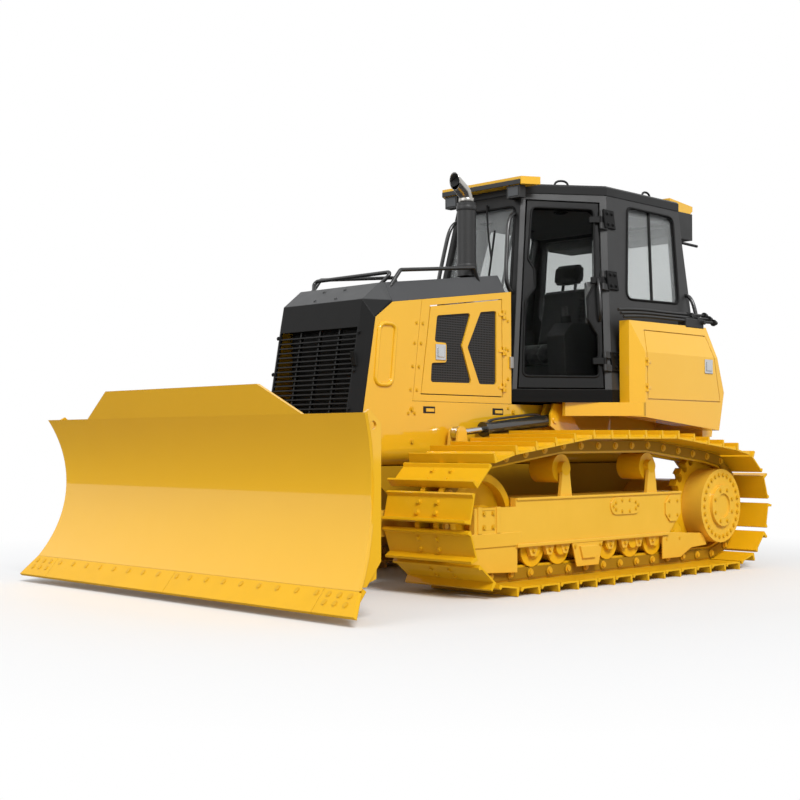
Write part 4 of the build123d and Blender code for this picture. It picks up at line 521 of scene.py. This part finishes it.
def cab_wall(start, end):
    """Origin, along, up and outward directions of a wall between two corner functions of the height."""
    origin = start(SILL)
    along = (end(SILL) - origin).normalized()
    up = start(EAVES) - origin
    out = along.cross(up).normalized()
    if out.dot(origin - Vector((0, 1.25, SILL))) < 0:
        out = -out
    up = out.cross(along).normalized()
    return origin, along, up if up.z > 0 else -up, out


def mirrored(point):
    return Vector((-point.x, point.y, point.z))


door_wall = cab_wall(lambda z: cab_corner(0, z), lambda z: cab_corner(1, z))
side_wall = cab_wall(lambda z: cab_corner(1, z), lambda z: cab_corner(2, z))
rear_wall = cab_wall(lambda z: cab_corner(2, z), lambda z: mirrored(cab_corner(2, z)))
front_wall = cab_wall(lambda z: mirrored(cab_corner(0, z)), lambda z: cab_corner(0, z))

# ---- Window seals
# Black rubber profile pressed round each pane, standing a little proud of the wall. A dark rubber bar
# divides each quarter window.

def to_side(side, points):
    """Points of the left side, mirrored for the right one."""
    return [mirrored(p) for p in points] if side < 0 else points


def on_wall(wall, along, up, out=0.0):
    return wall[0] + wall[1] * along + wall[2] * up + wall[3] * out


def rounded(points, radius, steps=5):
    """A closed outline with its corners rounded."""
    line = []
    count = len(points)
    for i in range(count):
        before, here, after = Vector(points[i - 1]), Vector(points[i]), Vector(points[(i + 1) % count])
        a, b = (before - here).normalized(), (after - here).normalized()
        half = math.acos(max(-1.0, min(1.0, a.dot(b)))) / 2
        reach = radius / math.tan(half)
        start, end = here + a * reach, here + b * reach
        for step in range(steps + 1):
            t = step / steps
            line.append(start * (1 - t) ** 2 + here * 2 * t * (1 - t) + end * t ** 2)
    return line


rubber = finish("rubber", (0.006, 0.006, 0.006), 0.65, shine=0.2, soften=0.0, grain=700.0, bump=0.1)
WINDSCREEN = [(0.070, 0.070), (0.830, 0.070), (0.715, 1.350), (0.185, 1.350)]
DOOR_WINDOW = [(0.080, 0.093), (0.628, 0.092), (0.640, 0.394), (0.572, 0.520), (0.575, 0.667), (0.640, 0.779),
               (0.668, 1.335), (0.212, 1.340), (0.162, 0.950), (0.206, 0.872), (0.202, 0.737), (0.125, 0.636)]
QUARTER_WINDOW = [(0.306, 0.672), (0.985, 0.688), (1.050, 1.370), (0.458, 1.374)]
REAR_WINDOW = [(0.210, 0.640), (1.534, 0.640), (1.480, 1.300), (0.264, 1.300)]
SEAL_OUT = 0.002


def seal(wall, outline, radius, side=1):
    return to_side(side, [on_wall(wall, p.x, p.y, SEAL_OUT) for p in rounded(outline, radius)])


fixed_seals = [seal(front_wall, WINDSCREEN, 0.060), seal(rear_wall, REAR_WINDOW, 0.060),
               seal(side_wall, QUARTER_WINDOW, 0.060), seal(side_wall, QUARTER_WINDOW, 0.060, -1)]
tubes("fixed_seals", fixed_seals, 0.009, rubber, closed=True, sides=2, order=2)
for side_name, side in SIDES:
    tubes("door_seal_" + side_name, [seal(door_wall, DOOR_WINDOW, 0.038, side)], 0.008, rubber,
          "cab_door_" + side_name, closed=True, sides=2, order=2)
bar = [on_wall(side_wall, 0.655, 0.680, -0.020), on_wall(side_wall, 0.755, 1.372, -0.020)]
quarter_bars = [to_side(side, bar) for _, side in SIDES]
tubes("quarter_bars", quarter_bars, 0.012, rubber, sides=2, order=2)

# ---- Glass
# Lightly tinted safety glass. The doors' panes are clear, and the others let a little less light through,
# so that a faint pale diffuse layer of the glass's own tint shows on them.

def pane(name, through):
    """Safety glass that lets a share of the light through."""
    material, tree, shader = node_material(name)
    place, film = add(tree, "TexCoord"), add(tree, "TexNoise", Scale=3.0)
    haze = add(tree, "MapRange", To_Min=0.0, To_Max=0.012)
    wire(tree, (place.outputs["Object"], film.inputs["Vector"]), (film.outputs["Fac"], haze.inputs["Value"]),
         (haze.outputs["Result"], shader.inputs["Roughness"]))
    shader.inputs["Base Color"].default_value = (0.76, 0.78, 0.775, 1.0)
    shader.inputs["Transmission Weight"].default_value = through
    shader.inputs["IOR"].default_value = 1.08
    return material


dress(pane("cab_pane", 0.84), "cab_glass")
dress(pane("door_pane", 1.0), "door_glass_left", "door_glass_right")

# ---- Cab door hinges
# Heavy pressed hinge straps wrapped round the post on to the side wall, three to a door, each held by four
# hexagon screws with washers.

HINGE_HEIGHTS, STRAP_HALF, STRAP_LENGTH, STRAP_THICKNESS = (0.199, 0.793, 1.249), 0.070, 0.124, 0.014
for side_name, side in SIDES:
    straps, strap_bolts = [], []
    for height in HINGE_HEIGHTS:
        start = 0.165 * height / 1.445
        outline = [on_wall(side_wall, start + a, height + u, 0.001)
                   for a, u in ((-0.004, -STRAP_HALF), (STRAP_LENGTH - 0.004, -STRAP_HALF),
                                (STRAP_LENGTH - 0.004, STRAP_HALF), (-0.004, STRAP_HALF))]
        facing, = to_side(side, [side_wall[3]])
        straps.append((to_side(side, outline), facing * STRAP_THICKNESS))
        spots = [on_wall(side_wall, start + a, height + u, STRAP_THICKNESS + 0.002)
                 for a in (0.035, 0.090) for u in (-0.040, 0.040)]
        strap_bolts += [(spot, facing) for spot in to_side(side, spots)]
    slabs("hinge_straps_" + side_name, straps, door_coat, bevel=0.004)
    bolts("hinge_screws_" + side_name, strap_bolts, 0.010, 0.008, door_coat)

# ---- Exhaust
# Black round heat guard with two band clamps, and a bright bent tailpipe with a clamp at its foot and a
# mouth closed by a near-black disc, sooty and painted with the shade of the pipe's inside.

stack_low, stack_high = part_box("exhaust_stack")
stack_x, stack_y = (stack_low.x + stack_high.x) / 2, (stack_low.y + stack_high.y) / 2
guard_black = finish("guard_black", (0.014, 0.014, 0.014), 0.42, soften=0.002)
pipe_bright = finish("pipe_bright", (0.50, 0.49, 0.47), 0.20, metallic=1.0, second=(0.40, 0.38, 0.35),
                     patch=14.0, soften=0.012, bump=0.01)
# Near-black for the tailpipe's mouth: sooty, and painted shade for the inside of the pipe.
soot_and_shade = finish("soot_and_shade", (0.004, 0.004, 0.004), 0.9, soften=0.0)
dress(guard_black, "exhaust_stack")
dress(pipe_bright, "exhaust_elbow")
BAND_STEPS = 40
MOUTH_RADIUS, MOUTH_FACING = 0.041, Vector((0, -0.84, 0.55))


def band(centre, radius, z, height, thickness):
    """A closed strap round an upright pipe."""
    x, y = centre
    outer, top = radius + thickness, z + height
    turns = [math.tau * i / BAND_STEPS for i in range(BAND_STEPS)]
    form = bmesh.new()
    rings = [[form.verts.new((x + r * math.cos(t), y + r * math.sin(t), h)) for t in turns]
             for r, h in ((radius, z), (outer, z), (outer, top), (radius, top))]
    for a in range(4):
        for i in range(BAND_STEPS):
            j = (i + 1) % BAND_STEPS
            form.faces.new((rings[a][i], rings[a][j], rings[(a + 1) % 4][j], rings[(a + 1) % 4][i]))
    bmesh.ops.recalc_face_normals(form, faces=form.faces)
    return form_mesh("band", form)


for number, z in enumerate((2.10, 2.50)):
    place_piece(f"stack_band_{number}", band((stack_x, stack_y), 0.0655, z, 0.030, 0.005), guard_black,
                bevel=0.001, smooth=True)
place_piece("elbow_clamp", band((stack_x, stack_y), 0.0475, stack_high.z + 0.004, 0.028, 0.006), pipe_bright,
            bevel=0.001, smooth=True)
mouth = Vector((stack_x, stack_y - 0.112, stack_high.z + 0.131))
disc = bmesh.new()
bmesh.ops.create_circle(disc, cap_ends=True, segments=32, radius=MOUTH_RADIUS)
tilt = MOUTH_FACING.to_track_quat("Z", "Y").to_matrix().to_4x4()
bmesh.ops.transform(disc, verts=disc.verts, matrix=Matrix.Translation(mouth) @ tilt)
place_piece("elbow_mouth", form_mesh("elbow_mouth", disc), soot_and_shade)

# ---- Lamps, visors and what stands on the roof
# Sealed work lamps with a dark lens in a black body, a black trim on the front visor, and lifting loops of
# bent bar. Rails and wipers stand on the walls, and each door has a pull and a grey lock box.

lamp_black = finish("lamp_black", (0.012, 0.012, 0.012), 0.45)
dress(lamp_black, "work_lamps")
lens = finish("lamp_lens", (0.10, 0.105, 0.11), 0.15, patch=60.0, soften=0.0, shine=0.2)


def end_plate(x, y, z, out):
    """The outline and push of a rectangle on a face that looks forward or back."""
    return [(x[0], y, z[0]), (x[1], y, z[0]), (x[1], y, z[1]), (x[0], y, z[1])], (0, out, 0)


slabs("visor_trim", [end_plate((-0.376, 0.376), 0.473, (2.745, 2.779), -0.006)], lamp_black,
      bevel=0.002)
lenses = [end_plate((x - 0.045, x + 0.045), 0.4845, (2.668, 2.732), -0.004) for x in (-0.300, 0.300)]
lenses += [end_plate((x - 0.06, x + 0.06), 2.3245, (2.56, 2.66), 0.004) for x in (-0.42, 0.42)]
slabs("lamp_lenses", lenses, lens, bevel=0.002)
LOOP_FOOT, LOOP_TOP = 2.765, 2.806
loops = []
for side in (-1, 1):
    for x, y, dx, dy in ((0.445, 0.850, 0.030, 0.040), (0.625, 1.650, 0.0, 0.050)):
        loops.append([(side * (x + end * dx), y + end * dy, z)
                      for end, z in ((-1, LOOP_FOOT), (-1, LOOP_TOP), (1, LOOP_TOP), (1, LOOP_FOOT))])
tubes("roof_loops", loops, 0.008, cab_coat)
grab_rails = []
for side in (-1, 1):
    front_rail = [on_wall(front_wall, 0.860 - 0.149 * h / 1.444, h, out)
                  for h, out in ((0.70, 0.0), (0.72, 0.075), (1.00, 0.080), (1.27, 0.075), (1.29, 0.0))]
    rear_rail = [on_wall(side_wall, 1.095, h, out)
                 for h, out in ((0.30, 0.0), (0.31, 0.07), (0.75, 0.07), (0.76, 0.0))]
    grab_rails += [to_side(side, front_rail), to_side(side, rear_rail)]
tubes("cab_rails", grab_rails, 0.015, rail_black)
WIPER_ROUTES = (((0.45, 0.035), (0.47, 0.30), (0.36, 0.62)), ((0.45, 1.385), (0.50, 1.20), (0.56, 0.98)))
wiper_arms = [[on_wall(front_wall, *spot, out) for spot, out in zip(route, (0.01, 0.035, 0.015))]
              for route in WIPER_ROUTES]
wiper_blades = [[on_wall(front_wall, along, low, 0.012), on_wall(front_wall, along, high, 0.012)]
                for along, low, high in ((0.36, 0.38, 0.86), (0.56, 0.78, 1.18))]
tubes("wipers", wiper_arms, 0.007, rubber)
tubes("wiper_blades", wiper_blades, 0.008, rubber, order=2)
latch_grey = finish("latch_grey", (0.14, 0.14, 0.14), 0.5)
for side_name, side in SIDES:
    pull = [on_wall(door_wall, 0.655, h, out)
            for h, out in ((0.50, 0.0), (0.51, 0.055), (0.80, 0.055), (0.81, 0.0))]
    tubes("door_pull_" + side_name, [to_side(side, pull)], 0.010, rail_black,
          "cab_door_" + side_name)
    lock = [on_wall(door_wall, a, u, -0.075)
            for a, u in ((0.575, 0.50), (0.640, 0.50), (0.645, 0.80), (0.585, 0.80))]
    push, = to_side(side, [door_wall[3] * 0.045])
    slabs("door_lock_" + side_name, [(to_side(side, lock), push)], latch_grey,
          "cab_door_" + side_name, bevel=0.006)

# ---- Inside the cab
# Moulded grey headliner with round air vents, black armrest consoles, and the operator's seat: three padded
# cushions in dark woven cloth on a black base.

trim = finish("interior_trim", (0.020, 0.020, 0.020), 0.55, grain=300.0, bump=0.15)
headliner_grey = finish("headliner_grey", (0.13, 0.13, 0.128), 0.7, grain=260.0, bump=0.2)
dress(trim, "control_consoles")
LINER_Z, LINER_THICKNESS, LINER_SHARE = 2.60, 0.05, 0.88
inner_ring = [cab_corner(corner, LINER_Z) for corner in range(3)]
inner_ring += [mirrored(p) for p in reversed(inner_ring)]
centre = Vector((0, 1.25, LINER_Z))
slabs("headliner", [([centre + (p - centre) * LINER_SHARE for p in inner_ring], (0, 0, LINER_THICKNESS))],
      headliner_grey, bevel=0.01)
turns = [math.tau * i / 16 for i in range(16)]
vent_rings = [[(side * 0.36 + 0.045 * math.cos(t), y + 0.045 * math.sin(t), LINER_Z - 0.002) for t in turns]
              for side in (-1, 1) for y in (0.95, 1.45)]
tubes("ceiling_vents", vent_rings, 0.008, trim, closed=True, sides=2, order=2)

seat_cloth, tree, cloth_shader = node_material("seat_cloth")
cloth_shader.inputs["Roughness"].default_value = 0.85
cloth_shader.inputs["Sheen Weight"].default_value = 0.3
place = add(tree, "TexCoord")
weave = add(tree, "TexWave", Scale=120.0, Distortion=1.5)
cloth_tone = blend(tree, (0.006, 0.006, 0.006), (0.016, 0.016, 0.016))
thread = add(tree, "Bump", Strength=0.3, Distance=0.001)
wire(tree, (place.outputs["Object"], weave.inputs["Vector"]), (weave.outputs["Fac"], cloth_tone.inputs[0]),
     (cloth_tone.outputs[2], cloth_shader.inputs["Base Color"]),
     (weave.outputs["Fac"], thread.inputs["Height"]),
     (thread.outputs["Normal"], cloth_shader.inputs["Normal"]))
SEAM_INSET, CLOTH_MOMENTS, CLOTH_PRESSURE = 0.012, 20, 4.0
VOXEL_QUICK, VOXEL_FINE = 0.012, 0.006


def pad_form(outline, low, high, inset):
    """A cushion's closed starting form: an outline in Y, Z, wide from low to high."""
    form = bmesh.new()
    middle = Vector((0, sum(p[0] for p in outline) / len(outline), sum(p[1] for p in outline) / len(outline)))
    corners = [Vector((low + inset, y, z)) - (Vector((0, y, z)) - middle).normalized() * inset
               for y, z in outline]
    slab(form, corners, (high - low - 2 * inset, 0, 0))
    bmesh.ops.recalc_face_normals(form, faces=form.faces)
    bmesh.ops.bevel(form, geom=form.edges[:], offset=0.022, segments=3, affect="EDGES")
    return form


def cushion(name, outline, low, high, cap, body):
    """A padded cushion: blown up as cloth from a slightly smaller form, then smoothed."""
    piece = bpy.data.objects.new(name, form_mesh(name, pad_form(outline, low, high, SEAM_INSET)))
    scene.collection.objects.link(piece)
    remesh = piece.modifiers.new("remesh", "REMESH")
    remesh.mode = "VOXEL"
    remesh.voxel_size = VOXEL_FINE
    piece.data = evaluated(piece)
    piece.modifiers.clear()
    start = [v.co.copy() for v in piece.data.vertices]
    cloth = piece.modifiers.new("cloth", "CLOTH")
    cloth.settings.use_pressure = True
    cloth.settings.uniform_pressure_force = CLOTH_PRESSURE
    cloth.settings.effector_weights.gravity = 0.0
    cloth.settings.quality = 4
    for moment in range(1, CLOTH_MOMENTS + 1):
        scene.frame_set(moment)
    blown = evaluated(piece)
    piece.modifiers.clear()
    piece.data = blown
    scene.frame_set(1)
    for vertex, first in zip(blown.vertices, start):
        step = vertex.co - first
        if step.length > cap:
            vertex.co = first + step.normalized() * cap
    piece.data.materials.clear()
    piece.data.materials.append(seat_cloth)
    piece.data.polygons.foreach_set("use_smooth", [True] * len(piece.data.polygons))
    smoothing = piece.modifiers.new("smoothing", "SUBSURF")
    smoothing.levels = 1
    smoothing.render_levels = 1
    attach(piece, body)
    return piece


def box_outline(x, y, z):
    """The outline and push of an upright box."""
    low, high = z
    return [(x[0], y[0], low), (x[1], y[0], low), (x[1], y[1], low), (x[0], y[1], low)], (0, 0, high - low)


seat_y = 1.230
CUSHIONS = (
    ("seat_cushion", ((-0.27, 1.51), (0.22, 1.51), (0.22, 1.625), (-0.27, 1.64)), 0.25, 0.014),
    ("seat_back", ((0.125, 1.64), (0.245, 1.62), (0.320, 2.12), (0.215, 2.12)), 0.23, 0.012),
    ("seat_headrest", ((0.222, 2.135), (0.322, 2.135), (0.340, 2.31), (0.250, 2.31)), 0.14, 0.010))
for name, profile, half, cap in CUSHIONS:
    cushion(name, [(seat_y + y, z) for y, z in profile], -half, half, cap, "chassis")
stalks = [([(low, seat_y + 0.268, 2.095), (high, seat_y + 0.268, 2.095), (high, seat_y + 0.280, 2.155),
            (low, seat_y + 0.280, 2.155)], (0, 0.02, 0)) for low, high in ((-0.072, -0.048), (0.048, 0.072))]
seat_frame = slabs("seat_base", [
    box_outline((-0.225, 0.225), (seat_y - 0.215, seat_y + 0.225), (1.228, 1.40)),
    box_outline((-0.19, 0.19), (seat_y - 0.18, seat_y + 0.19), (1.40, 1.50)), *stalks], trim,
    bevel=0.008)
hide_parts("seat")
boots = [[(side * 0.370, seat_y - 0.235, 1.795), (side * 0.370, seat_y - 0.240, 1.84)] for side in (-1, 1)]
tubes("joystick_boots", boots, 0.042, rubber, order=2)

# ---- Side consoles and tank
# Yellow lockers over the fenders with a bright paddle latch on each flush service door. Black hoses with
# fittings and a valve block run along the foot of each cab side, and more hoses and a rod are behind it.

CONSOLE_FACE_X, CONSOLE_LATCH = 1.0395, (1.839, 1.478)
y, z = CONSOLE_LATCH
for side_name, side in SIDES:
    cup = [side_plate(side * CONSOLE_FACE_X, (y - half, y + half), (z - half, z + half), side * out)
           for half, out in ((0.053, 0.006), (0.034, 0.012))]
    slabs("console_latch_" + side_name, cup, chrome_plate, "console_door_" + side_name)
tank_bolts = [((x, 2.2005, 1.20), (0, 1, 0)) for x in (-0.8, -0.4, 0.0, 0.4, 0.8)]
bolts("tank_bolts", tank_bolts, 0.012, 0.009, bolt_paint)
hose_black = finish("hose_black", (0.012, 0.012, 0.012), 0.5, soften=0.0)
rear_pipes, fittings = [], []
for _, side in SIDES:
    for number in range(3):
        x, z = side * (0.905 + 0.022 * number), 1.865 - 0.026 * number
        rear_pipes.append([(x, 0.90, z - 0.02), (x, 1.10, z), (x, 1.60, z),
                           (x, 1.98 + 0.03 * number, z + 0.01)])
        fittings.append(((x, 2.00 + 0.03 * number, z + 0.01), (0, 1, 0)))
        fittings.append(((x + side * 0.004, 1.78 + 0.05 * number, z), (side, 0, 0)))
rear_pipes.append([(0.70, 2.02, 2.455), (0.70, 2.13, 2.452), (0.70, 2.23, 2.45)])
for number in range(5):
    x = 0.45 + 0.07 * number
    rear_pipes.append([(x, 2.03, 1.74), (x, 2.05, 1.80 + 0.012 * number), (x + 0.02, 2.11, 1.815),
                       (x + 0.05, 2.15, 1.74)])
tubes("rear_pipes", rear_pipes, 0.011, hose_black)
bolts("pipe_fittings", fittings, 0.017, 0.036, hose_black)
valve_plates = [box_outline(sorted((side * 0.895, side * 0.965)), (1.66, 1.90), (1.765, 1.835))
                for _, side in SIDES]
slabs("valve_blocks", valve_plates, hose_black, bevel=0.006)

# ---- Tracks
# Pressed grouser shoes, each held on its links by two pairs of hexagon screws. Forged link plates overlap
# along both rails, with the ends of their pins showing.

# The link plates take a darker copy of the chain yellow: painted shade for their place between the shoes and
# the frame.
link_paint_shaded = finish("link_paint_shaded", (0.36, 0.19, 0.005), 0.55, second=(0.28, 0.145, 0.004), patch=9.0,
                    shine=0.15)
PIN_DEPTH, LINK_HALF, LINK_ROUND = 0.0580, 0.095, 0.034
TRACK_MIDDLE_X, RAIL_FACE, MIN_SHOE_WIDTH, MIN_SHOE_REACH, MIN_FACE = 0.950, 0.0932, 0.5, 0.09, 0.004


def shoe_strips(name):
    """The flat outer face of every shoe: its normal, its running direction, and its middle along each."""
    mesh = nodes[name].data
    low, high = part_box(name)
    middle_y, middle_z = (low.y + high.y) / 2, (low.z + high.z) / 2
    strips = {}
    mesh.calc_loop_triangles()
    for triangle in mesh.loop_triangles:
        a, b, c = [mesh.vertices[i].co for i in triangle.vertices]
        normal = (b - a).cross(c - a)
        if normal.length / 2 < MIN_FACE:
            continue
        normal.normalize()
        if abs(normal.x) > 0.02 or max(a.x, b.x, c.x) - min(a.x, b.x, c.x) < MIN_SHOE_WIDTH:
            continue
        centre = (a + b + c) / 3
        run = Vector((0, normal.z, -normal.y))
        reach = [v.dot(run) for v in (a, b, c)]
        outwards = normal.dot(Vector((0, centre.y - middle_y, (centre.z - middle_z) * 3))) > 0
        if not outwards or max(reach) - min(reach) < MIN_SHOE_REACH:
            continue
        level, along = round(centre.dot(normal), 3), (max(reach) + min(reach)) / 2
        strips.setdefault((round(normal.y, 2), round(normal.z, 2), level, round(along, 2)),
                          (normal.copy(), run, level, along))
    return list(strips.values())


for side_name, side in SIDES:
    mid_x = side * TRACK_MIDDLE_X
    strips = shoe_strips("track_" + side_name)
    spots = []
    for normal, run, level, along in strips:
        bases = [normal * level + run * (along + ahead) for ahead in (-0.032, 0.032)]
        spots += [((mid_x + offset, base.y, base.z), normal) for offset in (-0.075, 0.075) for base in bases]
    bolts("shoe_bolts_" + side_name, spots, 0.013, 0.012, chain_paint)
    plates, pins = [], []
    for rail in (-1, 1):
        face_x = mid_x + rail * RAIL_FACE
        for normal, run, level, along in strips:
            axis = normal * (level - PIN_DEPTH) + run * along
            outline = []
            for end, start in ((1, -90), (-1, 90)):
                for step in range(7):
                    angle = math.radians(start + step * 30)
                    ahead = end * LINK_HALF + LINK_ROUND * math.cos(angle)
                    spot = axis + run * ahead + normal * LINK_ROUND * math.sin(angle)
                    outline.append((face_x + rail * 0.005 * (1 + ahead / 0.13), spot.y, spot.z))
            plates.append((outline, (rail * 0.008, 0, 0)))
            pin = axis + run * LINK_HALF
            pins.append(((face_x + rail * 0.017, pin.y, pin.z), (rail, 0, 0)))
    slabs("link_plates_" + side_name, plates, link_paint_shaded, bevel=0.0)
    bolts("link_pins_" + side_name, pins, 0.017, 0.012, bolt_paint, sides=12)

# ---- Track frames, idlers and final drives
# Fabricated side frames with an oval access cover, an eight-sided rear cover, flanges, roller guards and
# bolted bearing plates. The final drives carry two rings of screws.

sprocket_low, sprocket_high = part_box("sprockets")
sprocket_y, sprocket_z = (sprocket_low.y + sprocket_high.y) / 2, (sprocket_low.z + sprocket_high.z) / 2
idler_low, idler_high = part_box("idlers")
idler_y, idler_z = (idler_low.y + idler_high.y) / 2, (idler_low.z + idler_high.z) / 2
DRIVE_FACE_X, HUB_FACE_X, IDLER_FACE_X = 1.1455, 1.1675, 1.0985
FRAME_FACE_X, NOSE_FACE_X, SADDLE_X = 1.0998, 1.088, 1.062


def circle(x, y, z, radius, count, phase=0.0):
    """Places round a circle on a side face."""
    turns = [math.tau * (i + phase) / count for i in range(count)]
    return [(x, y + radius * math.cos(t), z + radius * math.sin(t)) for t in turns]


drive_bolts, idler_bolts, hub_bolts = [], [], []
for _, side in SIDES:
    out = (side, 0, 0)
    drive_bolts += [(p, out) for p in circle(side * DRIVE_FACE_X, sprocket_y, sprocket_z, 0.225, 26)]
    hub_bolts += [(p, out) for p in circle(side * HUB_FACE_X, sprocket_y, sprocket_z, 0.120, 8, 0.5)]
    idler_bolts += [((side * IDLER_FACE_X, idler_y + dy, idler_z + dz), out)
                    for dy in (-0.042, 0.042) for dz in (-0.042, 0.042)]
bolts("drive_bolts", drive_bolts, 0.012, 0.010, bolt_paint)
bolts("hub_bolts", hub_bolts, 0.011, 0.009, bolt_paint)
bolts("idler_bolts", idler_bolts, 0.012, 0.010, bolt_paint)


def oval(y, z, half, radius, x):
    """A stadium outline on a side plate."""
    line = []
    for end, start in ((half, -90), (-half, 90)):
        for step in range(9):
            angle = math.radians(start + step * 22.5)
            line.append((x, y + end + radius * math.cos(angle), z + radius * math.sin(angle)))
    return line


OVAL_COVER, REAR_COVER, MIDDLE_GUARD = (0.69, 0.490), (1.255, 0.455), (0.100, 0.430)
covers, cover_bolts, guards, flanges = [], [], [], []
for _, side in SIDES:
    x, nose_x, out = side * FRAME_FACE_X, side * NOSE_FACE_X, (side, 0, 0)
    y, z = OVAL_COVER
    covers.append((oval(y, z, 0.11, 0.058, x), (side * 0.010, 0, 0)))
    turns = [math.tau * i / 10 for i in range(10)]
    cover_bolts += [((x + side * 0.010, y + 0.140 * math.cos(t), z + 0.038 * math.sin(t)), out)
                    for t in turns]
    y, z = REAR_COVER
    covers.append((circle(x, y, z, 0.100, 8, 0.5), (side * 0.012, 0, 0)))
    cover_bolts += [((x + side * 0.012, y + dy, z + dz), out)
                    for dy, dz in ((-0.05, -0.05), (0.05, -0.05), (0.05, 0.05), (-0.05, 0.05))]
    low, high = MIDDLE_GUARD
    guards += [
        side_plate(nose_x, (-0.95, -0.40), (0.281, 0.366), side * 0.016),
        side_shape(nose_x, ((-0.86, 0.135), (-0.43, 0.115), (-0.43, 0.281), (-0.90, 0.281)), side * 0.008),
        side_shape(nose_x, ((1.14, 0.105), (1.36, 0.105), (1.50, 0.165), (1.70, 0.175), (1.66, 0.262),
                            (1.14, 0.290)), side * 0.012),
        side_shape(x, ((low, 0.270), (high, 0.270), (high - 0.05, 0.115), (low + 0.05, 0.115)), side * 0.010),
        side_shape(x, ((low + 0.07, 0.245), (high - 0.07, 0.245), (high - 0.10, 0.165), (low + 0.10, 0.165)),
                   side * 0.024)]
    cover_bolts += [((x + side * 0.012, y, 0.245), out) for y in (low + 0.03, high - 0.03)]
    flanges += [side_plate(x, (-0.445, 1.20), (0.268, 0.290), side * 0.014),
                side_plate(x, (-0.445, 1.365), (0.556, 0.572), side * 0.010)]
roller_low, roller_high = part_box("track_rollers")
SADDLE_COUNT, SADDLE_END = 11, 0.09
saddles, saddle_bolts = [], []
for _, side in SIDES:
    x = side * SADDLE_X
    for y in (idler_y - 0.085, idler_y + 0.085):
        saddles.append(side_plate(x, (y - 0.018, y + 0.018), (idler_z - 0.080, idler_z + 0.080),
                                  side * 0.046))
    for number in range(SADDLE_COUNT):
        share = number / (SADDLE_COUNT - 1)
        y = roller_low.y + SADDLE_END + (roller_high.y - roller_low.y - 2 * SADDLE_END) * share
        if MIDDLE_GUARD[0] - 0.04 < y < MIDDLE_GUARD[1] + 0.04:
            continue
        saddles.append(side_shape(x, ((y - 0.050, 0.268), (y + 0.050, 0.268), (y + 0.022, 0.205),
                                      (y - 0.022, 0.205)), side * 0.030))
        saddle_bolts.append(((x + side * 0.030, y, 0.240), (side, 0, 0)))
slabs("roller_saddles", saddles, frame_paint)
bolts("saddle_bolts", saddle_bolts, 0.012, 0.012, bolt_paint)
slabs("frame_covers", covers, frame_paint, bevel=0.002)
slabs("roller_guards", guards, frame_paint)
slabs("frame_flanges", flanges, frame_paint)
bolts("cover_bolts", cover_bolts, 0.009, 0.007, bolt_paint)
# The belly takes a darker copy of the machine's yellow: painted shade for its place under the hull, between
# the tracks.
dress(finish("belly_paint_shaded", (0.48, 0.255, 0.008), 0.6, second=(0.36, 0.19, 0.007), shine=0.1), "belly")

# ---- Blade edge
# Sectioned cutting edge and flared end bits, held by rows of bolts with flat round heads that sit nearly
# flush.

EDGE_FACING, EDGE_ROW, END_BIT_ROW = Vector((0, -0.768, 0.641)), (-2.214, 0.1427), (-2.247, 0.1032)
EDGE_BOLT_GAP, END_BIT_INNER = 0.155, 1.27
edge_places = [number * EDGE_BOLT_GAP + (0.012 if number else 0.04) for number in range(-8, 9)]
edge_bolts = [((x, *EDGE_ROW), EDGE_FACING) for x in edge_places if abs(x) < END_BIT_INNER]
edge_bolts += [((side * x, *row), EDGE_FACING) for side in (-1, 1) for x in (1.345, 1.425, 1.505)
               for row in (EDGE_ROW, END_BIT_ROW)]
bolts("edge_bolts", edge_bolts, 0.014, 0.004, bolt_paint, "blade", sides=14)

# ---- Hydraulic cylinders
# Glossy black barrels with bright plated rods. A fixed oil pipe runs along the top of each lift barrel and
# rides with it.

barrel_black = finish("barrel_black", (0.020, 0.018, 0.014), 0.20, coat=0.6, soften=0.004)
rod_chrome = finish("rod_chrome", (0.60, 0.61, 0.62), 0.10, metallic=1.0, soften=0.002, bump=0.005,
                    grain=900.0)
dress(barrel_black, "lift_barrel_left", "lift_barrel_right", "angle_barrel_left", "angle_barrel_right",
      "tilt_barrel")
dress(rod_chrome, "lift_rod_left", "lift_rod_right", "angle_rod_left", "angle_rod_right", "tilt_rod")
LIFT_X, LIFT_REAR, LIFT_FRONT = 0.535, (0.595, 1.070), (-0.362, 0.977)
for side_name, side in SIDES:
    rear, front = Vector((side * LIFT_X, *LIFT_REAR)), Vector((side * LIFT_X, *LIFT_FRONT))
    way = (front - rear).normalized()
    above = Vector((0, way.z, -way.y))
    line = [rear + way * ahead + above * rise for ahead, rise in
            ((0.11, 0.040), (0.13, 0.058), (0.40, 0.058), (0.64, 0.058), (0.66, 0.044))]
    tubes("lift_pipe_" + side_name, [line], 0.009, rail_black, "lift_barrel_" + side_name)
